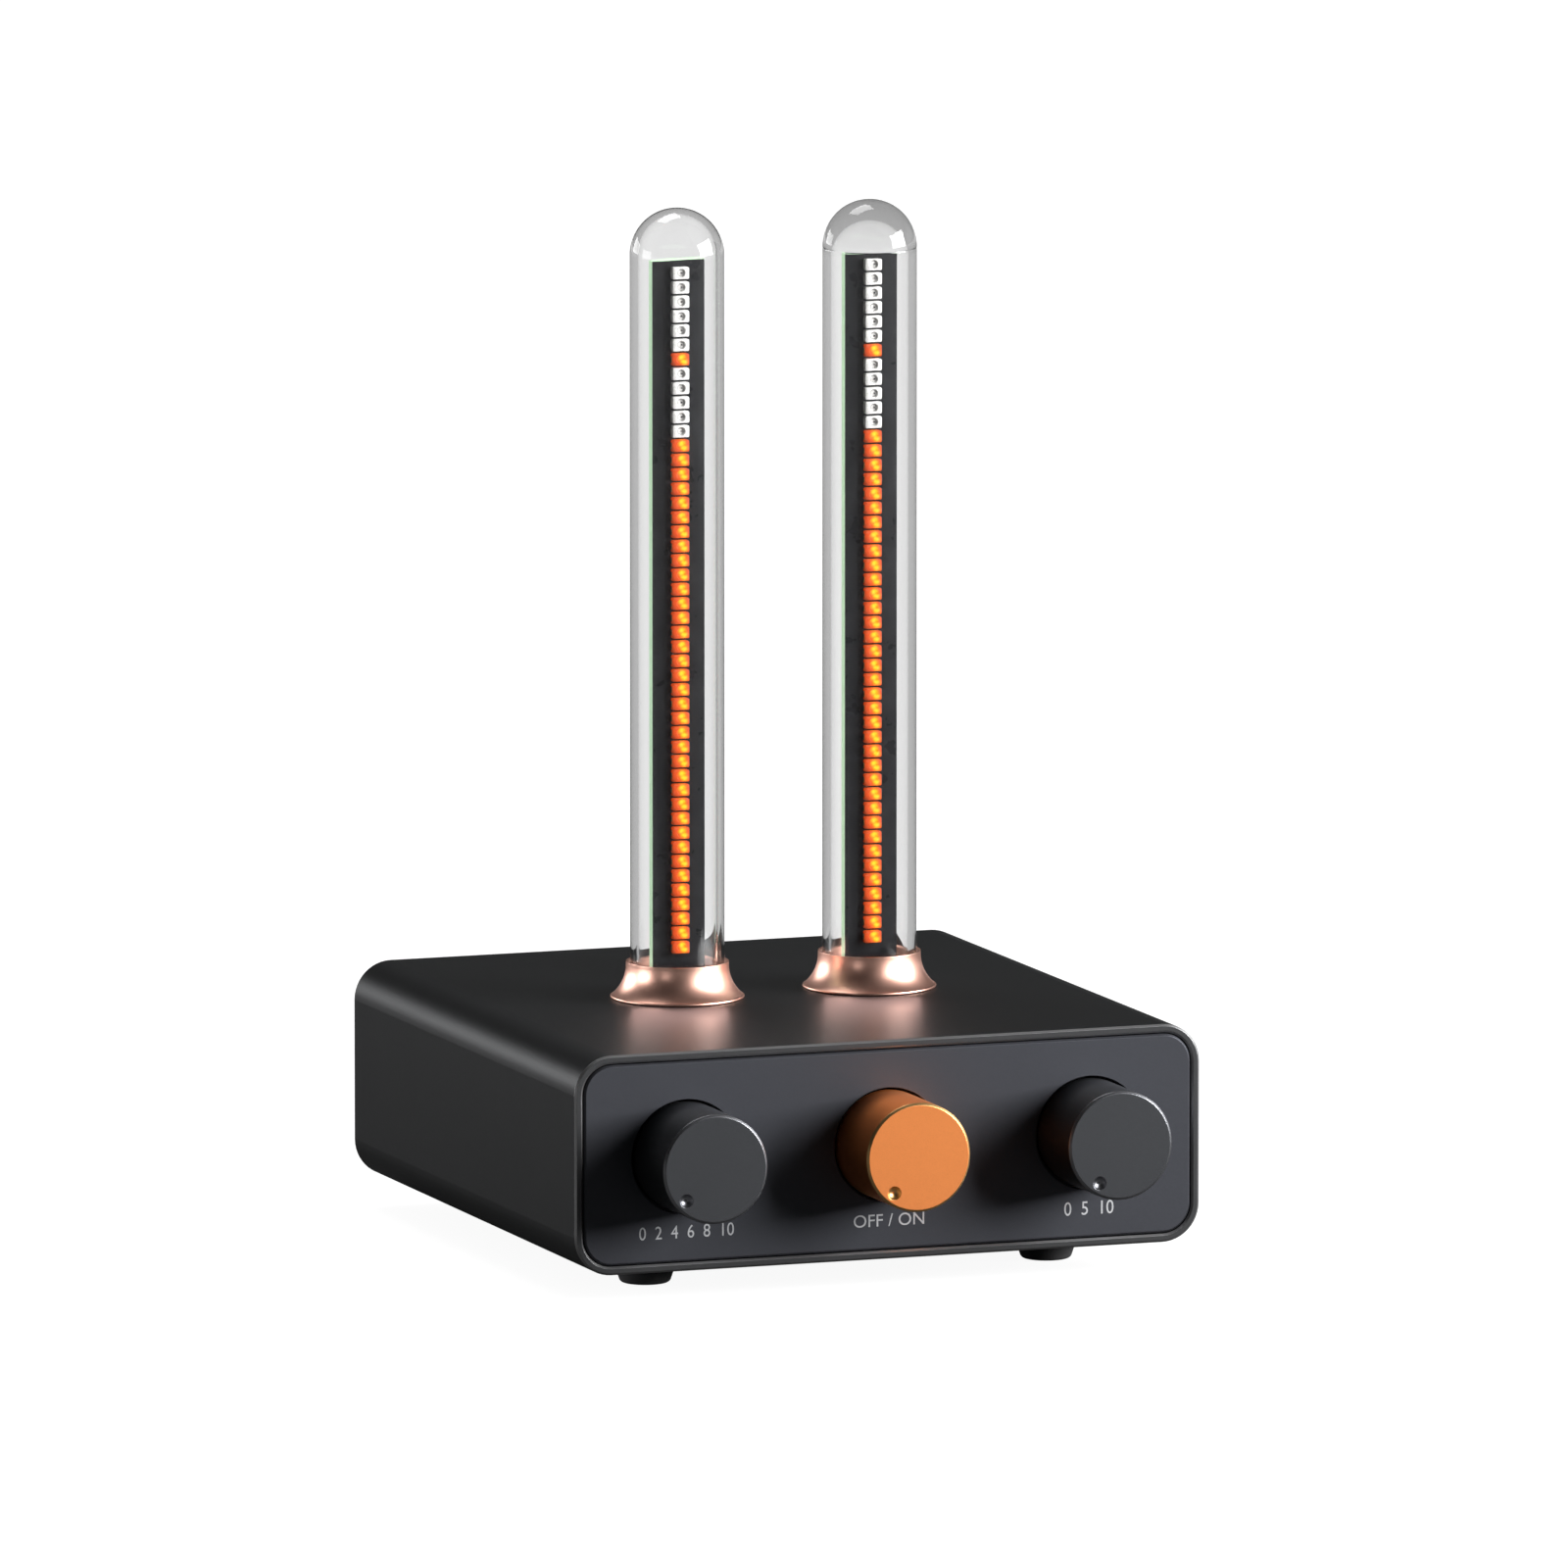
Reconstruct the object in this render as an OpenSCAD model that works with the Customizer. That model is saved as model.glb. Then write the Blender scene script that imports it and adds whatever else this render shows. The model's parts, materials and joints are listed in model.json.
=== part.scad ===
/* [Case] */
// Outside width of the sleeve
case_w = 116; // [96:0.5:138]
// Depth of the sleeve from rim to rim
case_d = 116.4; // [97:0.2:138]
// Outside height of the sleeve
case_h = 38.6; // [34:0.2:46]
// Outside corner radius of the sleeve
case_r = 6.8; // [5.8:0.1:8]
// Wall thickness of the sleeve
case_wall = 1.5; // [1.2:0.1:1.9]
// Chamfer along the rims of the sleeve and the panels
rim_chamfer = 0.35; // [0.2:0.05:0.5]
// Thickness of the front and rear panels
panel_t = 3; // [2.4:0.1:3.6]
// Gap between a panel and the sleeve around it
panel_gap = 0.2; // [0.1:0.05:0.3]
// Thickness of the plate behind the front panel, which carries the potentiometers
sub_t = 2; // [1.8:0.1:2.5]

/* [Case screws] */
// Radius of a case screw's shank
screw_r = 1.25; // [1:0.05:1.5]
// Radius of its countersunk head
screw_head_r = 2.35; // [2:0.05:2.7]
// Height of the head's cone
screw_head_h = 1.3; // [1:0.1:1.6]
// Length of a case screw under its head
screw_len = 9; // [6:0.5:12]
// Radius of the hexagon socket in a screw head
socket_r = 0.9; // [0.7:0.05:1.1]
// Depth of that socket
socket_depth = 0.8; // [0.6:0.1:1]

/* [Feet] */
// Distance of a foot's centre from the side of the case
foot_inset_x = 20.6; // [16:0.2:26]
// Distance of a foot's centre from the front or rear rim
foot_inset_y = 21.4; // [16:0.2:26]
// Height of a foot
foot_h = 5.2; // [4.2:0.1:6.5]
// Diameter of a foot at the case
foot_top_d = 12.2; // [10.5:0.1:14]
// Diameter of a foot's tip before its edge is rounded
foot_tip_d = 9.2; // [7.8:0.1:10.4]
// Rounding of the tip's edge
foot_round = 0.9; // [0.6:0.05:1.2]
// Radius of a foot screw's shank
foot_screw_r = 1.5; // [1.2:0.05:1.7]
// Radius of a foot screw's pan head
foot_head_r = 2.6; // [2.2:0.05:2.8]
// Height of that head
foot_head_h = 1.8; // [1.4:0.1:2.1]
// Depth of rubber that the foot screw clamps
foot_web = 2.4; // [2:0.1:2.8]
// Across flats of the nut inside the case
foot_nut_af = 5.5; // [5:0.1:6.4]
// Thickness of that nut
foot_nut_t = 2.4; // [2:0.1:2.8]

/* [Knobs] */
// Diameter of a knob
knob_d = 19.2; // [16:0.1:22.8]
// Distance of a knob's face in front of the panel
knob_out = 15.1; // [12.6:0.1:18]
// Depth to which a knob reaches into its hole in the panel
knob_in = 1; // [0.6:0.1:1.2]
// Gap between a knob and the edge of its hole
knob_gap = 0.5; // [0.3:0.05:0.8]
// Chamfer around a knob's face
knob_chamfer = 0.4; // [0.2:0.05:0.6]
// Thickness of a knob's face
knob_face_t = 2.5; // [2:0.1:3]
// Thickness of a knob's side wall
knob_wall = 1.4; // [1.1:0.1:1.8]
// Distance of an outer knob's axis from the side of the case
knob_margin = 20.5; // [17:0.1:24.5]
// Height of the knobs' axes over the middle of the case
knob_rise = 0.85; // [0:0.05:1.1]
// Width of the pointer dimple in a knob's face
dimple_d = 2.4; // [2:0.05:2.9]
// Depth of the dimple
dimple_depth = 0.8; // [0.6:0.05:1]
// Distance of the dimple from the knob's axis
dimple_reach = 7.55; // [6.2:0.05:7.8]
// Angle between straight down and either stop
stop_angle = 30; // [20:1:40]
// Angle of the left knob from its low stop
sensitivity_angle = 16; // [0:1:300]
// Angle of the middle knob from its low stop
light_angle = 7; // [0:1:300]
// Angle of the right knob from its low stop
delay_angle = 1.5; // [0:0.5:300]

/* [Potentiometers] */
// Radius of a potentiometer's shaft
shaft_r = 3; // [2.5:0.05:3.6]
// Distance of the shaft's flat from its axis
shaft_flat = 1.5; // [1.2:0.1:1.9]
// Length of the flat from the shaft's tip
flat_len = 7; // [5.5:0.1:8.5]
// Radial play of a shaft in its bushing and of a hub on its shaft
shaft_play = 0.05; // [0.03:0.01:0.08]
// Wall of the threaded bushing
bushing_wall = 0.8; // [0.6:0.05:1]
// Length of bushing that stands proud of its nut
bushing_proud = 1; // [0.8:0.1:1.2]
// Width of a potentiometer's body
pot_w = 9.7; // [8:0.1:11.5]
// Depth of its body
pot_t = 6.8; // [5.6:0.1:8.1]
// Height of its body over the axis
pot_top = 4.85; // [4.2:0.05:5.8]
// Height of the axis over the main board
pot_axis_h = 7; // [6:0.1:7.8]
// Depth of the power switch behind the middle potentiometer
switch_t = 5.2; // [4.3:0.1:6.2]
// Depth of a shaft's seat in the body
shaft_seat = 5; // [4:0.1:5.5]
// Across flats of a potentiometer's nut
pot_nut_af = 10; // [9.4:0.1:11.9]
// Thickness of that nut
pot_nut_t = 2; // [1.7:0.1:2.4]
// Radius of the washer under the nut
washer_r = 6; // [5.2:0.1:7]
// Thickness of that washer
washer_t = 0.5; // [0.4:0.05:0.6]

/* [Tubes] */
// Distance between the axes of the tubes
tube_pitch = 36; // [31:0.5:43]
// Outside diameter of a glass tube
tube_d = 16.6; // [14:0.1:19.5]
// Wall of a glass tube
tube_wall = 1.45; // [1.2:0.05:1.75]
// Height of the left tube's inner dome over the centre of its outer dome
left_dome_lift = 0.3; // [0.1:0.05:0.5]
// Drop of the right tube's inner dome under the centre of its outer dome
right_dome_drop = 1.6; // [1:0.1:2]
// Height of the domes' centre over the top of the light bars
dome_over_bar = 0.8; // [0.5:0.1:1.2]

/* [Light bars] */
// Number of lamps on a bar
led_count = 48; // [40:1:57]
// Distance from lamp to lamp
led_pitch = 2.54; // [2.45:0.01:3.1]
// Number of lamps lit from the bottom
lit_count = 36; // [1:1:39]
// Number of dark lamps between the lit ones and the lit peak
gap_count = 5; // [1:1:6]
// Width of a lamp
led_w = 3; // [2.5:0.1:3.6]
// Height of a lamp
led_h = 2.1; // [1.7:0.05:2.35]
// Thickness of a lamp
led_t = 1.1; // [0.9:0.05:1.4]
// Height of the lowest lamp's middle over the case
led_rise = 9.2; // [7.6:0.1:11]
// Length of bar over the edge of the top lamp
bar_margin = 1.1; // [0.9:0.1:1.4]
// Width of a light bar
bar_w = 9.7; // [8:0.1:10.8]
// Thickness of a light bar
bar_t = 2; // [1.6:0.1:2.4]
// Width and height of a driver chip behind a bar
driver_w = 4; // [3.3:0.1:4.8]
// Thickness of a driver chip
driver_t = 0.9; // [0.7:0.05:1.1]
// Number of lamps that one driver chip serves
lamps_per_driver = 8; // [6:1:12]

/* [Collars] */
// Diameter of a collar's foot
collar_base_d = 23.6; // [21.5:0.1:28]
// Height of a collar over the case
collar_h = 6.5; // [5.4:0.1:7.8]
// Thickness of the collar's lip outside the glass
collar_lip = 0.7; // [0.55:0.05:0.85]
// Radius of the collar's concave flare
flare_r = 7; // [5.8:0.1:8.4]
// Thickness of the collar's rounded foot edge
flange_t = 0.6; // [0.5:0.05:0.75]
// Chamfer inside the collar's mouth
lip_chamfer = 0.3; // [0.2:0.05:0.4]
// Radial gap between the glass and the collar
glass_gap = 0.06; // [0.05:0.01:0.1]
// Wall of the collar's threaded neck inside the case
neck_wall = 0.95; // [0.8:0.05:1.15]
// Radial gap between the neck and its hole in the case
neck_gap = 0.15; // [0.1:0.05:0.3]
// Height of the ledge that carries the glass
ledge_t = 1; // [0.8:0.1:1.2]
// Width of that ledge
ledge_w = 1; // [0.8:0.1:1.2]
// Thickness of the rubber ring between the ledge and the glass
ring_t = 0.8; // [0.6:0.1:1]
// Thickness of the nut that clamps a collar
collar_nut_t = 3; // [2.4:0.1:3.6]
// Across flats of that nut
collar_nut_af = 23; // [22:0.5:28]
// Length of neck below the nut
neck_spare = 0.7; // [0.5:0.1:0.9]
// Thickness of the board holder's flange
holder_t = 1.5; // [1.2:0.1:1.8]
// Height of the board holder inside the glass
holder_rise = 3; // [2.4:0.1:3.6]
// Gap between a light bar and its slot
slot_gap = 0.1; // [0.05:0.01:0.15]
// Radial gap around the board holder
holder_gap = 0.06; // [0.04:0.01:0.1]

/* [Main board] */
// Thickness of the main board
board_t = 1.6; // [1.3:0.1:2]
// Gap between the board's sides and the screw channels
board_side_gap = 1.2; // [1:0.1:1.5]
// Gap between the board and the plates in front and behind
board_end_gap = 0.4; // [0.3:0.05:0.5]
// Radius of a board standoff
standoff_r = 2.6; // [2.3:0.1:3.1]
// Distance of a standoff's axis from the board's edges
standoff_inset = 4; // [3.4:0.1:4.8]
// Width of the socket that holds a light bar
bar_socket_w = 14; // [13:0.1:16.6]
// Depth of that socket from front to back
bar_socket_d = 6; // [5.4:0.1:7.1]
// Height of that socket
bar_socket_h = 8.5; // [7:0.1:10]
// Depth to which a bar is plugged in
plug_depth = 5.5; // [4.6:0.1:6.5]
// Width of the controller chip
controller_w = 10; // [8.5:0.5:12]
// Thickness of the controller chip
controller_t = 1.4; // [1.1:0.1:1.7]
// Width of the power chip
power_chip_w = 6.5; // [5.5:0.5:7.5]
// Thickness of the power chip
power_chip_t = 2.3; // [1.9:0.1:2.7]
// Radius of a capacitor
cap_r = 3.15; // [2.6:0.05:3.7]
// Height of a capacitor
cap_h = 9; // [7.5:0.5:10.5]
// Distance between the capacitors
cap_pitch = 8; // [7.6:0.1:9.5]
// Distance of the nearer capacitor from the middle of the case
cap_x = 15; // [13:0.5:17]

/* [Rear connectors] */
// Distance of the power inlet from the board's right edge
usb_inset = 17; // [14:0.5:20]
// Width of the power inlet's shell
usb_w = 8.94; // [7.5:0.02:10.6]
// Height of the power inlet's shell
usb_h = 3.26; // [2.8:0.02:3.8]
// Length of the power inlet's shell
usb_len = 9; // [7.5:0.1:10.7]
// Wall of the power inlet's shell
usb_wall = 0.3; // [0.25:0.05:0.35]
// Thickness of the inlet's closed back
usb_back_t = 2; // [1.6:0.1:2.4]
// Width of the contact tongue in the inlet
usb_tongue_w = 6.7; // [5.6:0.1:7]
// Thickness of the contact tongue
usb_tongue_t = 0.7; // [0.6:0.05:0.85]
// Length of the contact tongue
usb_tongue_len = 5; // [4.2:0.1:5.8]
// Gap around the inlet in the rear panel
usb_gap = 0.3; // [0.2:0.05:0.4]
// Distance of the inlet's mouth behind the rear panel's face
usb_recess = 0.3; // [0.2:0.05:0.4]
// Distance between the power inlet and the line jack
jack_pitch = 20; // [17:0.5:24]
// Radius of the line jack's bore
jack_bore_r = 1.8; // [1.6:0.05:2.1]
// Radius of the line jack's threaded barrel
jack_barrel_r = 3; // [2.6:0.1:3.5]
// Length of the line jack's bore
jack_bore_len = 14; // [12:0.5:16.5]
// Width and height of the line jack's body
jack_w = 9; // [8:0.1:10.5]
// Depth of the line jack's body
jack_d = 12; // [10:0.1:14]
// Thickness of the line jack's nut
jack_nut_t = 2; // [1.6:0.1:2.4]
// Across flats of that nut
jack_nut_af = 8; // [7.4:0.1:9.5]
// Length of barrel that stands proud of the nut
jack_proud = 0.4; // [0.3:0.05:0.5]
// Distance of the microphone from the board's left edge
mic_inset = 24; // [20:0.5:28]
// Radius of the microphone capsule
mic_r = 4.85; // [4.1:0.05:5.7]
// Length of the microphone capsule
mic_len = 6.5; // [5.4:0.1:7.7]
// Radius of the sound hole in the rear panel
mic_hole_r = 1.2; // [1:0.05:1.4]

/* [Hidden] */
$fn = 96;

// Length by which every cut runs past what it cuts
overrun = 1;
// Play between a thread and the hole it is screwed into
thread_play = 0.05;

// Heights: the feet stand on zero
floor_z = foot_h + case_wall;
mid_z = foot_h + case_h / 2;
top_z = foot_h + case_h;
knob_z = mid_z + knob_rise;
board_z = knob_z - pot_axis_h;

// Depths: the whole outline is centred front to back
rear_out = jack_nut_t + jack_proud;
front_y = knob_out - (knob_out + case_d + rear_out) / 2;
rear_y = front_y + case_d;
tube_y = (front_y + rear_y) / 2;
plate_y = front_y + panel_t;
pot_y = plate_y + sub_t;
rear_in_y = rear_y - panel_t;

// Outlines of the case, seen from the front
inner_w = case_w - 2 * case_wall;
inner_h = case_h - 2 * case_wall;
inner_r = case_r - case_wall;
panel_w = inner_w - 2 * panel_gap;
panel_h = inner_h - 2 * panel_gap;
panel_r = inner_r - panel_gap;

// A screw head keeps this far from the panel's rounded corner
head_margin = 0.2;
screw_inset = case_r - (panel_r - screw_head_r - head_margin) / sqrt(2);
channel_bite = 0.3;
channel_r = screw_inset - case_wall + channel_bite;
channel_bore_r = screw_r + thread_play;
screw_x = case_w / 2 - screw_inset;
screw_z = case_h / 2 - screw_inset;

foot_x = case_w / 2 - foot_inset_x;
foot_y = case_d / 2 - foot_inset_y;
foot_spots = [for (sy = [-1, 1], sx = [-1, 1]) [sx * foot_x, tube_y + sy * foot_y]];

knob_r = knob_d / 2;
knob_hole_r = knob_r + knob_gap;
knob_x = case_w / 2 - knob_margin;
knob_bore_r = knob_r - knob_wall;
hub_gap = 0.5;
shaft_tip_gap = 0.2;
hub_r = knob_bore_r - shaft_play;
bushing_bore_r = shaft_r + shaft_play;
bushing_r = bushing_bore_r + bushing_wall;
nut_y = plate_y - washer_t - pot_nut_t;
bushing_y = nut_y - bushing_proud;
knob_face_y = front_y - knob_out;
hub_y = knob_face_y + knob_face_t;
shaft_tip_y = hub_y + hub_gap + shaft_tip_gap;
shaft_end_y = pot_y + shaft_seat;
// A sphere of this radius cuts the dimple
dimple_r = (dimple_d * dimple_d / 4 + dimple_depth * dimple_depth) / (2 * dimple_depth);

tube_x = tube_pitch / 2;
tube_r = tube_d / 2;
tube_bore_r = tube_r - tube_wall;
collar_bore_r = tube_r + glass_gap;
collar_rim_r = collar_bore_r + collar_lip;
collar_base_r = collar_base_d / 2;
neck_r = collar_bore_r + neck_wall;
neck_z = top_z - case_wall - collar_nut_t - neck_spare;
ledge_bore_r = collar_bore_r - ledge_w;
tube_foot_z = neck_z + ledge_t + ring_t;
flare_dr = collar_base_r - flange_t / 2 - collar_rim_r;
flare_z = flange_t + sqrt(2 * flare_r * flare_dr - flare_dr * flare_dr);

led_z = top_z + led_rise;
bar_top_z = led_z + (led_count - 1) * led_pitch + led_h / 2 + bar_margin;
bar_foot_z = board_z + bar_socket_h - plug_depth;
dome_z = bar_top_z + dome_over_bar;
bar_y = tube_y - bar_t / 2;
peak_lamp = lit_count + gap_count;

board_w = case_w - 2 * (screw_inset + channel_r + board_side_gap);
board_y = pot_y + board_end_gap;
board_d = rear_in_y - board_end_gap - board_y;
// The front standoffs stand behind the potentiometers, the rear ones at the board's corners
standoff_rows = [pot_y + pot_t + standoff_inset, board_y + board_d - standoff_inset];
standoff_spots = [for (y = standoff_rows, sx = [-1, 1]) [sx * (board_w / 2 - standoff_inset), y]];
board_screw_r = 1.25;
board_head_r = 2.2;
board_head_h = 1.4;
board_screw_bite = 3;
board_screw_len = board_t + board_screw_bite;

usb_x = board_w / 2 - usb_inset;
usb_z = board_z + usb_h / 2;
usb_y = rear_y - usb_recess - usb_len;
jack_x = usb_x - jack_pitch;
jack_z = board_z + jack_w / 2;
jack_mouth_y = rear_y + rear_out;
mic_x = mic_inset - board_w / 2;
mic_lift = 0.1;
mic_z = board_z + mic_r + mic_lift;
mic_gap = 0.3;
mic_ring_share = 0.62;
mic_ring_r = mic_r * mic_ring_share;
mic_felt_depth = 0.5;

// Outline with four round corners, centred
module round_rect(w, h, r) {
    square([w - 2 * r, h], center = true);
    square([w, h - 2 * r], center = true);
    for (sx = [-1, 1], sy = [-1, 1])
        translate([sx * (w / 2 - r), sy * (h / 2 - r)]) circle(r);
}

// Outline of a bar whose sides, half its width from the middle, follow the steps
function bar_outline(half, steps) = concat(
    [for (s = steps) [half - s[0], s[1]]],
    [for (i = [len(steps) - 1 : -1 : 0]) [steps[i][0] - half, steps[i][1]]]);

// Slab of round corners whose edge follows steps, each of which is [inset, height]
module stepped_slab(w, h, r, steps) {
    last = steps[len(steps) - 1];
    for (sx = [-1, 1], sy = [-1, 1])
        translate([sx * (w / 2 - r), sy * (h / 2 - r), 0])
            rotate_extrude()
                polygon(concat([[0, steps[0][1]]], [for (s = steps) [r - s[0], s[1]]], [[0, last[1]]]));
    rotate([90, 0, 0]) linear_extrude(h - 2 * r, center = true) polygon(bar_outline(w / 2, steps));
    rotate([90, 0, 90]) linear_extrude(w - 2 * r, center = true) polygon(bar_outline(h / 2, steps));
}

// Slab of round corners with a chamfer c around both faces
module chamfered_slab(w, h, r, t, c) {
    stepped_slab(w, h, r, [[c, 0], [0, c], [0, t - c], [c, t]]);
}

// Turns a slab in the XY plane so that it stands and its thickness runs from y to the rear
module stand(y) {
    translate([0, y, mid_z]) rotate([-90, 0, 0]) children();
}

// Cylinder that runs from y to the rear
module rod(x, y, z, r, len) {
    translate([x, y, z]) rotate([-90, 0, 0]) cylinder(r = r, h = len);
}

// Hexagonal prism along Z with its flats af apart
module hex_prism(af, h) {
    cylinder(r = af / sqrt(3), h = h, $fn = 6);
}

// The four places of the case screws, as children turned to run from front to rear
module case_screw_spots(y) {
    for (sx = [-1, 1], sz = [-1, 1])
        translate([sx * screw_x, y, mid_z + sz * screw_z]) rotate([-90, 0, 0]) children();
}

// Countersunk hole or screw body: its head's rim lies at z = 0 and its shank runs up
module countersunk(play, len) {
    cylinder(r1 = screw_head_r + play, r2 = screw_r + play, h = screw_head_h);
    cylinder(r = screw_r + play, h = screw_head_h + len);
}

module case_screw() {
    difference() {
        countersunk(0, screw_len);
        translate([0, 0, -overrun]) cylinder(r = socket_r, h = overrun + socket_depth, $fn = 6);
    }
}

// Space inside the sleeve, which flares by the rim chamfer at both rims
module sleeve_space() {
    flare = rim_chamfer + overrun;
    stepped_slab(inner_w, inner_h, inner_r,
        [[-flare, -overrun], [0, rim_chamfer], [0, case_d - rim_chamfer], [-flare, case_d + overrun]]);
}

module screw_channel_outline() {
    intersection() {
        round_rect(case_w - case_wall, case_h - case_wall, case_r - case_wall / 2);
        for (sx = [-1, 1], sz = [-1, 1]) translate([sx * screw_x, sz * screw_z]) circle(channel_r);
    }
}

module case_sleeve() {
    color([0.11, 0.115, 0.125])
        difference() {
            union() {
                difference() {
                    stand(front_y) chamfered_slab(case_w, case_h, case_r, case_d, rim_chamfer);
                    stand(front_y) sleeve_space();
                }
                stand(pot_y) linear_extrude(rear_in_y - pot_y) screw_channel_outline();
            }
            case_screw_spots(pot_y - overrun)
                cylinder(r = channel_bore_r, h = rear_in_y - pot_y + 2 * overrun);
            for (sx = [-1, 1])
                translate([sx * tube_x, tube_y, top_z - case_wall - overrun])
                    cylinder(r = neck_r + neck_gap, h = case_wall + 2 * overrun);
            for (p = foot_spots) translate([p[0], p[1], foot_h - overrun])
                cylinder(r = foot_screw_r + thread_play, h = case_wall + 2 * overrun);
        }
}

module front_panel() {
    color([0.28, 0.29, 0.315])
        difference() {
            stand(front_y) chamfered_slab(panel_w, panel_h, panel_r, panel_t, rim_chamfer);
            for (x = [-knob_x, 0, knob_x])
                rod(x, front_y - overrun, knob_z, knob_hole_r, panel_t + 2 * overrun);
        }
}

module pot_plate() {
    color([0.62, 0.63, 0.65])
        difference() {
            stand(plate_y) linear_extrude(sub_t) round_rect(panel_w, panel_h, panel_r);
            for (x = [-knob_x, 0, knob_x])
                rod(x, plate_y - overrun, knob_z, bushing_r + thread_play, sub_t + 2 * overrun);
            case_screw_spots(plate_y) countersunk(thread_play, sub_t + overrun);
        }
}

module pot_plate_screws() {
    color([0.55, 0.56, 0.58]) case_screw_spots(plate_y) case_screw();
}

module rear_panel() {
    color([0.12, 0.125, 0.135])
        difference() {
            stand(rear_in_y) chamfered_slab(panel_w, panel_h, panel_r, panel_t, rim_chamfer);
            case_screw_spots(rear_y) mirror([0, 0, 1]) countersunk(thread_play, panel_t + overrun);
            rod(jack_x, rear_in_y - overrun, jack_z, jack_barrel_r + thread_play, panel_t + 2 * overrun);
            rod(mic_x, rear_in_y - overrun, mic_z, mic_hole_r, panel_t + 2 * overrun);
            translate([usb_x, rear_in_y - overrun, usb_z]) rotate([-90, 0, 0])
                linear_extrude(panel_t + 2 * overrun)
                    round_rect(usb_w + 2 * usb_gap, usb_h + 2 * usb_gap, usb_h / 2 + usb_gap - usb_flat);
        }
}

module rear_screws() {
    color([0.1, 0.1, 0.11]) case_screw_spots(rear_y) mirror([0, 0, 1]) case_screw();
}

// A foot's side is a straight line from the case to the tangent of its rounded tip
foot_top_r = foot_top_d / 2;
foot_tip_x = foot_tip_d / 2 - foot_round;
foot_side_dx = foot_top_r - foot_tip_x;
foot_side_dz = foot_h - foot_round;
foot_side_reach = sqrt(foot_side_dx * foot_side_dx + foot_side_dz * foot_side_dz);
foot_tangent = atan2(foot_side_dz, foot_side_dx) - acos(foot_round / foot_side_reach);

module foot(spot) {
    color([0.06, 0.062, 0.066])
        translate([spot[0], spot[1], 0])
            difference() {
                rotate_extrude() {
                    polygon([[0, 0], [foot_tip_x, 0],
                        [foot_tip_x + foot_round * cos(foot_tangent),
                            foot_round + foot_round * sin(foot_tangent)],
                        [foot_top_r, foot_h], [0, foot_h]]);
                    intersection() {
                        translate([foot_tip_x, foot_round]) circle(foot_round);
                        square([foot_top_r, foot_h]);
                    }
                }
                translate([0, 0, -overrun])
                    cylinder(r = foot_head_r + thread_play, h = foot_h - foot_web + overrun);
                translate([0, 0, -overrun])
                    cylinder(r = foot_screw_r + thread_play, h = foot_h + 2 * overrun);
            }
}

module front_left_foot() foot(foot_spots[0]);
module front_right_foot() foot(foot_spots[1]);
module rear_left_foot() foot(foot_spots[2]);
module rear_right_foot() foot(foot_spots[3]);

module foot_screws() {
    head_z = foot_h - foot_web - foot_head_h;
    color([0.5, 0.51, 0.53])
        for (p = foot_spots) translate([p[0], p[1], head_z])
            difference() {
                union() {
                    cylinder(r = foot_head_r, h = foot_head_h);
                    cylinder(r = foot_screw_r, h = floor_z + foot_nut_t - head_z);
                }
                translate([0, 0, -overrun]) cylinder(r = socket_r, h = overrun + socket_depth, $fn = 6);
            }
}

module foot_nuts() {
    color([0.6, 0.61, 0.63])
        for (p = foot_spots) translate([p[0], p[1], floor_z])
            difference() {
                hex_prism(foot_nut_af, foot_nut_t);
                translate([0, 0, -overrun])
                    cylinder(r = foot_screw_r + thread_play, h = foot_nut_t + 2 * overrun);
            }
}

module main_board() {
    color([0.07, 0.2, 0.12])
        difference() {
            translate([-board_w / 2, board_y, board_z - board_t]) cube([board_w, board_d, board_t]);
            for (p = standoff_spots) translate([p[0], p[1], board_z - board_t - overrun])
                cylinder(r = board_screw_r + thread_play, h = board_t + 2 * overrun);
        }
}

module board_standoffs() {
    standoff_h = board_z - board_t - floor_z;
    color([0.72, 0.62, 0.36])
        for (p = standoff_spots) translate([p[0], p[1], floor_z])
            difference() {
                cylinder(r = standoff_r, h = standoff_h, $fn = 6);
                translate([0, 0, standoff_h + board_t - board_screw_len])
                    cylinder(r = board_screw_r + thread_play, h = board_screw_len);
            }
}

module board_screws() {
    color([0.6, 0.61, 0.63])
        for (p = standoff_spots) translate([p[0], p[1], board_z]) {
            cylinder(r = board_head_r, h = board_head_h);
            translate([0, 0, -board_screw_len + thread_play])
                cylinder(r = board_screw_r, h = board_screw_len);
        }
}

module controller_chip() {
    color([0.05, 0.05, 0.055])
        translate([-controller_w / 2, (tube_y + rear_in_y - controller_w) / 2, board_z])
            cube([controller_w, controller_w, controller_t]);
}

module power_chip() {
    color([0.05, 0.05, 0.055])
        translate([usb_x - power_chip_w / 2, usb_y - 2 * power_chip_w, board_z])
            cube([power_chip_w, power_chip_w, power_chip_t]);
}

module capacitors() {
    color([0.12, 0.13, 0.2])
        for (i = [0, 1])
            translate([cap_x + cap_pitch * i, usb_y - 2 * power_chip_w - cap_pitch, board_z])
                cylinder(r = cap_r, h = cap_h);
}

// The inlet's ends are round but for a short flat on each side
usb_flat = 0.03;

module power_inlet() {
    bore_w = usb_w - 2 * usb_wall;
    bore_h = usb_h - 2 * usb_wall;
    color([0.66, 0.67, 0.69])
        translate([usb_x, usb_y, usb_z]) rotate([-90, 0, 0])
            difference() {
                linear_extrude(usb_len) round_rect(usb_w, usb_h, usb_h / 2 - usb_flat);
                translate([0, 0, usb_back_t])
                    linear_extrude(usb_len) round_rect(bore_w, bore_h, bore_h / 2 - usb_flat);
            }
}

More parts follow.
